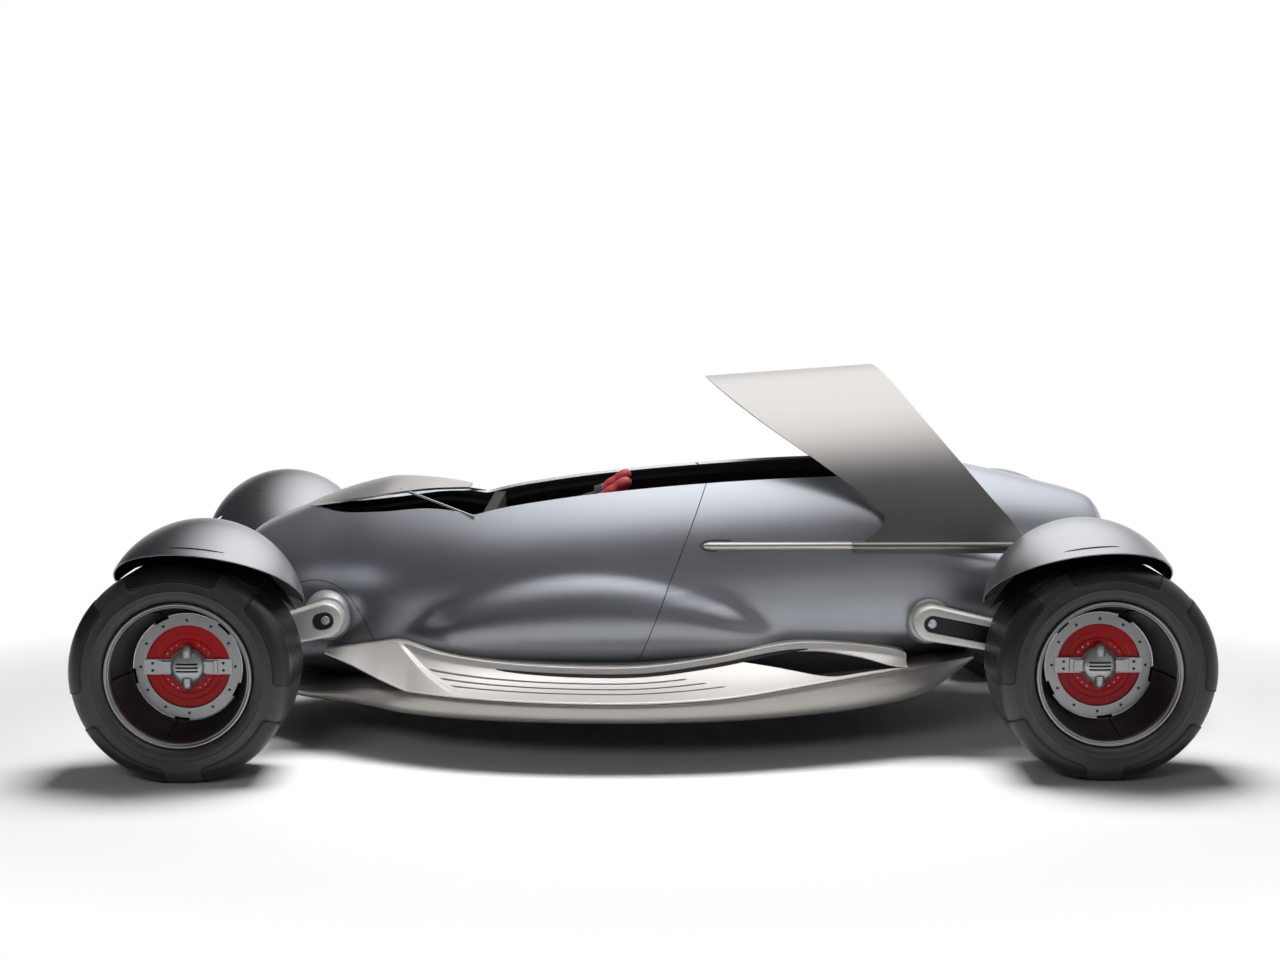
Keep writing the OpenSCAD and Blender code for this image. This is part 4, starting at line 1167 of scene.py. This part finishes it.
hub = revolve([(0, 0.4), (40, 0.4), (40, 28), (36, 34), (18, 34), (16, 31), (0, 31)], 48)
hub = moved(hub, (0, 0, 0), math.pi / 2, 1)
bar = tube([(17, y, 0) for y in np.linspace(-132, 132, 9)], 13, 20)
add("yoke_hub", on_yoke(joined(hub, bar)), DARK, replaces="steering_yoke", angle=30)
for side, hand in SIDES:
    grip = moved(grip_part(), (17, side * 130, 0), GRIP_LEAN, 1)
    padded(f"yoke_{hand}_grip", on_yoke(grip))

# Materials of the CAD nodes that stay
SLOTS_OF = {
    "lining": LINING, "dark_metal": DARK, "bright_metal": BRIGHT, "body_silver": PAINT,
    "red_leather": LEATHER, "red_paint": RED, "rim_dark": RIM, "tyre": TYRE}
for sub in frame["record"]["subparts"]:
    o = frame["nodes"][sub["node"]]
    o.data.materials.clear()
    o.data.materials.append(SLOTS_OF[sub["material_slot"]])


# Floor, light and camera
def staged(name, x0, x1, y0, y1, z):
    """A level sheet of the stage, which isn't part of the car."""
    mesh = bpy.data.meshes.new(name)
    mesh.from_pydata([(x0, y0, z), (x1, y0, z), (x1, y1, z), (x0, y1, z)], [], [(0, 1, 2, 3)])
    o = placed(name, mesh)
    return o


# White floor. Away from the car's shadow it is plain white, and what the paint mirrors in front is dark
m = Material("floor_white", (0.9, 0.9, 0.9), 0, 0.9, 0, 0.1)
place = m.node("NewGeometry")["Position"]
white = m.ramp(m.split(place)["Y"], -3.6, -2.42)
m.tint(white, (0.06, 0.06, 0.065), (0.86, 0.86, 0.86))
scaled = m.node("VectorMath", {0: place, 1: (1 / 2.5, 1 / 1.5, 0)}, operation="MULTIPLY")["Vector"]
far = m.node("VectorMath", {0: scaled}, operation="LENGTH")["Value"]
from_camera, off_metal = m.rays()
shown = m.math("MAXIMUM", from_camera, m.math("MULTIPLY", white, off_metal))
shown = m.math("MULTIPLY", m.ramp(far, 0.95, 1.5), shown)
shadowed = m.nodes["Principled BSDF"].outputs["BSDF"]
m.surface(m.node("MixShader", {0: shown, 1: shadowed, 2: m.node("Emission")["Emission"]})["Shader"])
staged("floor", -40, 40, -40, 60, -0.001).data.materials.append(m.made)

# Studio, white to the camera. The paint mirrors it dark in front, paler at the tail and white behind
scene.world = bpy.data.worlds.new("studio")
scene.world.use_nodes = True
w = Shader(scene.world.node_tree)
way = w.split(w.node("TexCoord")["Generated"])
around = w.blend(w.ramp(way["X"], -0.1, 0.9), (0.035, 0.037, 0.042), (0.55, 0.55, 0.55))
behind = w.math("MULTIPLY", w.ramp(way["Z"], 0.5, 0.16), w.ramp(way["Y"], 0.1, 0.6))
behind = w.math("MULTIPLY", behind, w.ramp(way["X"], -0.6, -0.36))
from_camera, off_metal = w.rays()
studio = w.blend(off_metal, (0.03, 0.032, 0.036), w.blend(behind, around, (1, 1, 1)))
w.link(w.blend(from_camera, studio, (1, 1, 1)), w.nodes["Background"].inputs["Color"])

# Large soft screen overhead, which the paint mirrors. It fades towards the nose and the camera
m = Material("screen_white", (1, 1, 1))
place = m.split(m.node("NewGeometry")["Position"])
glow = None
for axis, lo, hi, low in (("X", -3.6, 0.2, 0.0), ("X", 7, 2, 0.35),
                          ("Y", -6.6, -1.0, 0.03), ("Y", 9, 1, 0.6)):
    fade = m.ramp(place[axis], lo, hi, low, 1, "SMOOTHSTEP")
    glow = m.math("MULTIPLY", glow, fade) if glow else fade
light = m.node("Emission", {"Color": m.blend(glow, (0.03, 0.03, 0.035), (1.9, 1.9, 1.9))})
m.surface(light["Emission"])
screen = staged("screen", -5, 9, 10, -10, 4.5)
screen.visible_camera = screen.visible_diffuse = screen.visible_shadow = False
screen.data.materials.append(m.made)

for name, at, target, size, watts in (("top_light", (0.2, -0.1, 5.0), (0.2, -0.1, 0), (2.6, 1.6), 335),
                                      ("front_light", (-2.2, -6.2, 3.6), (0, 0, 0.4), (3, 1.6), 60)):
    light = given(bpy.data.lights.new(name, "AREA"), shape="RECTANGLE", energy=watts)
    light.size, light.size_y = size
    o = placed(name, light)
    o.location = at
    o.rotation_euler = (Vector(target) - Vector(at)).to_track_quat("-Z", "Y").to_euler()
    o.visible_glossy = False

FOCAL_PIXELS, PICTURE_WIDTH, PITCH, YAW = 1825, 1280, 6.49, -0.52
camera = bpy.data.cameras.new("camera")
camera.sensor_width = 36
camera.lens = FOCAL_PIXELS / PICTURE_WIDTH * camera.sensor_width
scene.camera = placed("camera", camera)
scene.camera.location = (-0.068, -6.638, 1.648)
scene.camera.rotation_euler = (math.radians(90 - PITCH), 0, math.radians(YAW))
scene.view_settings.view_transform = "Standard"
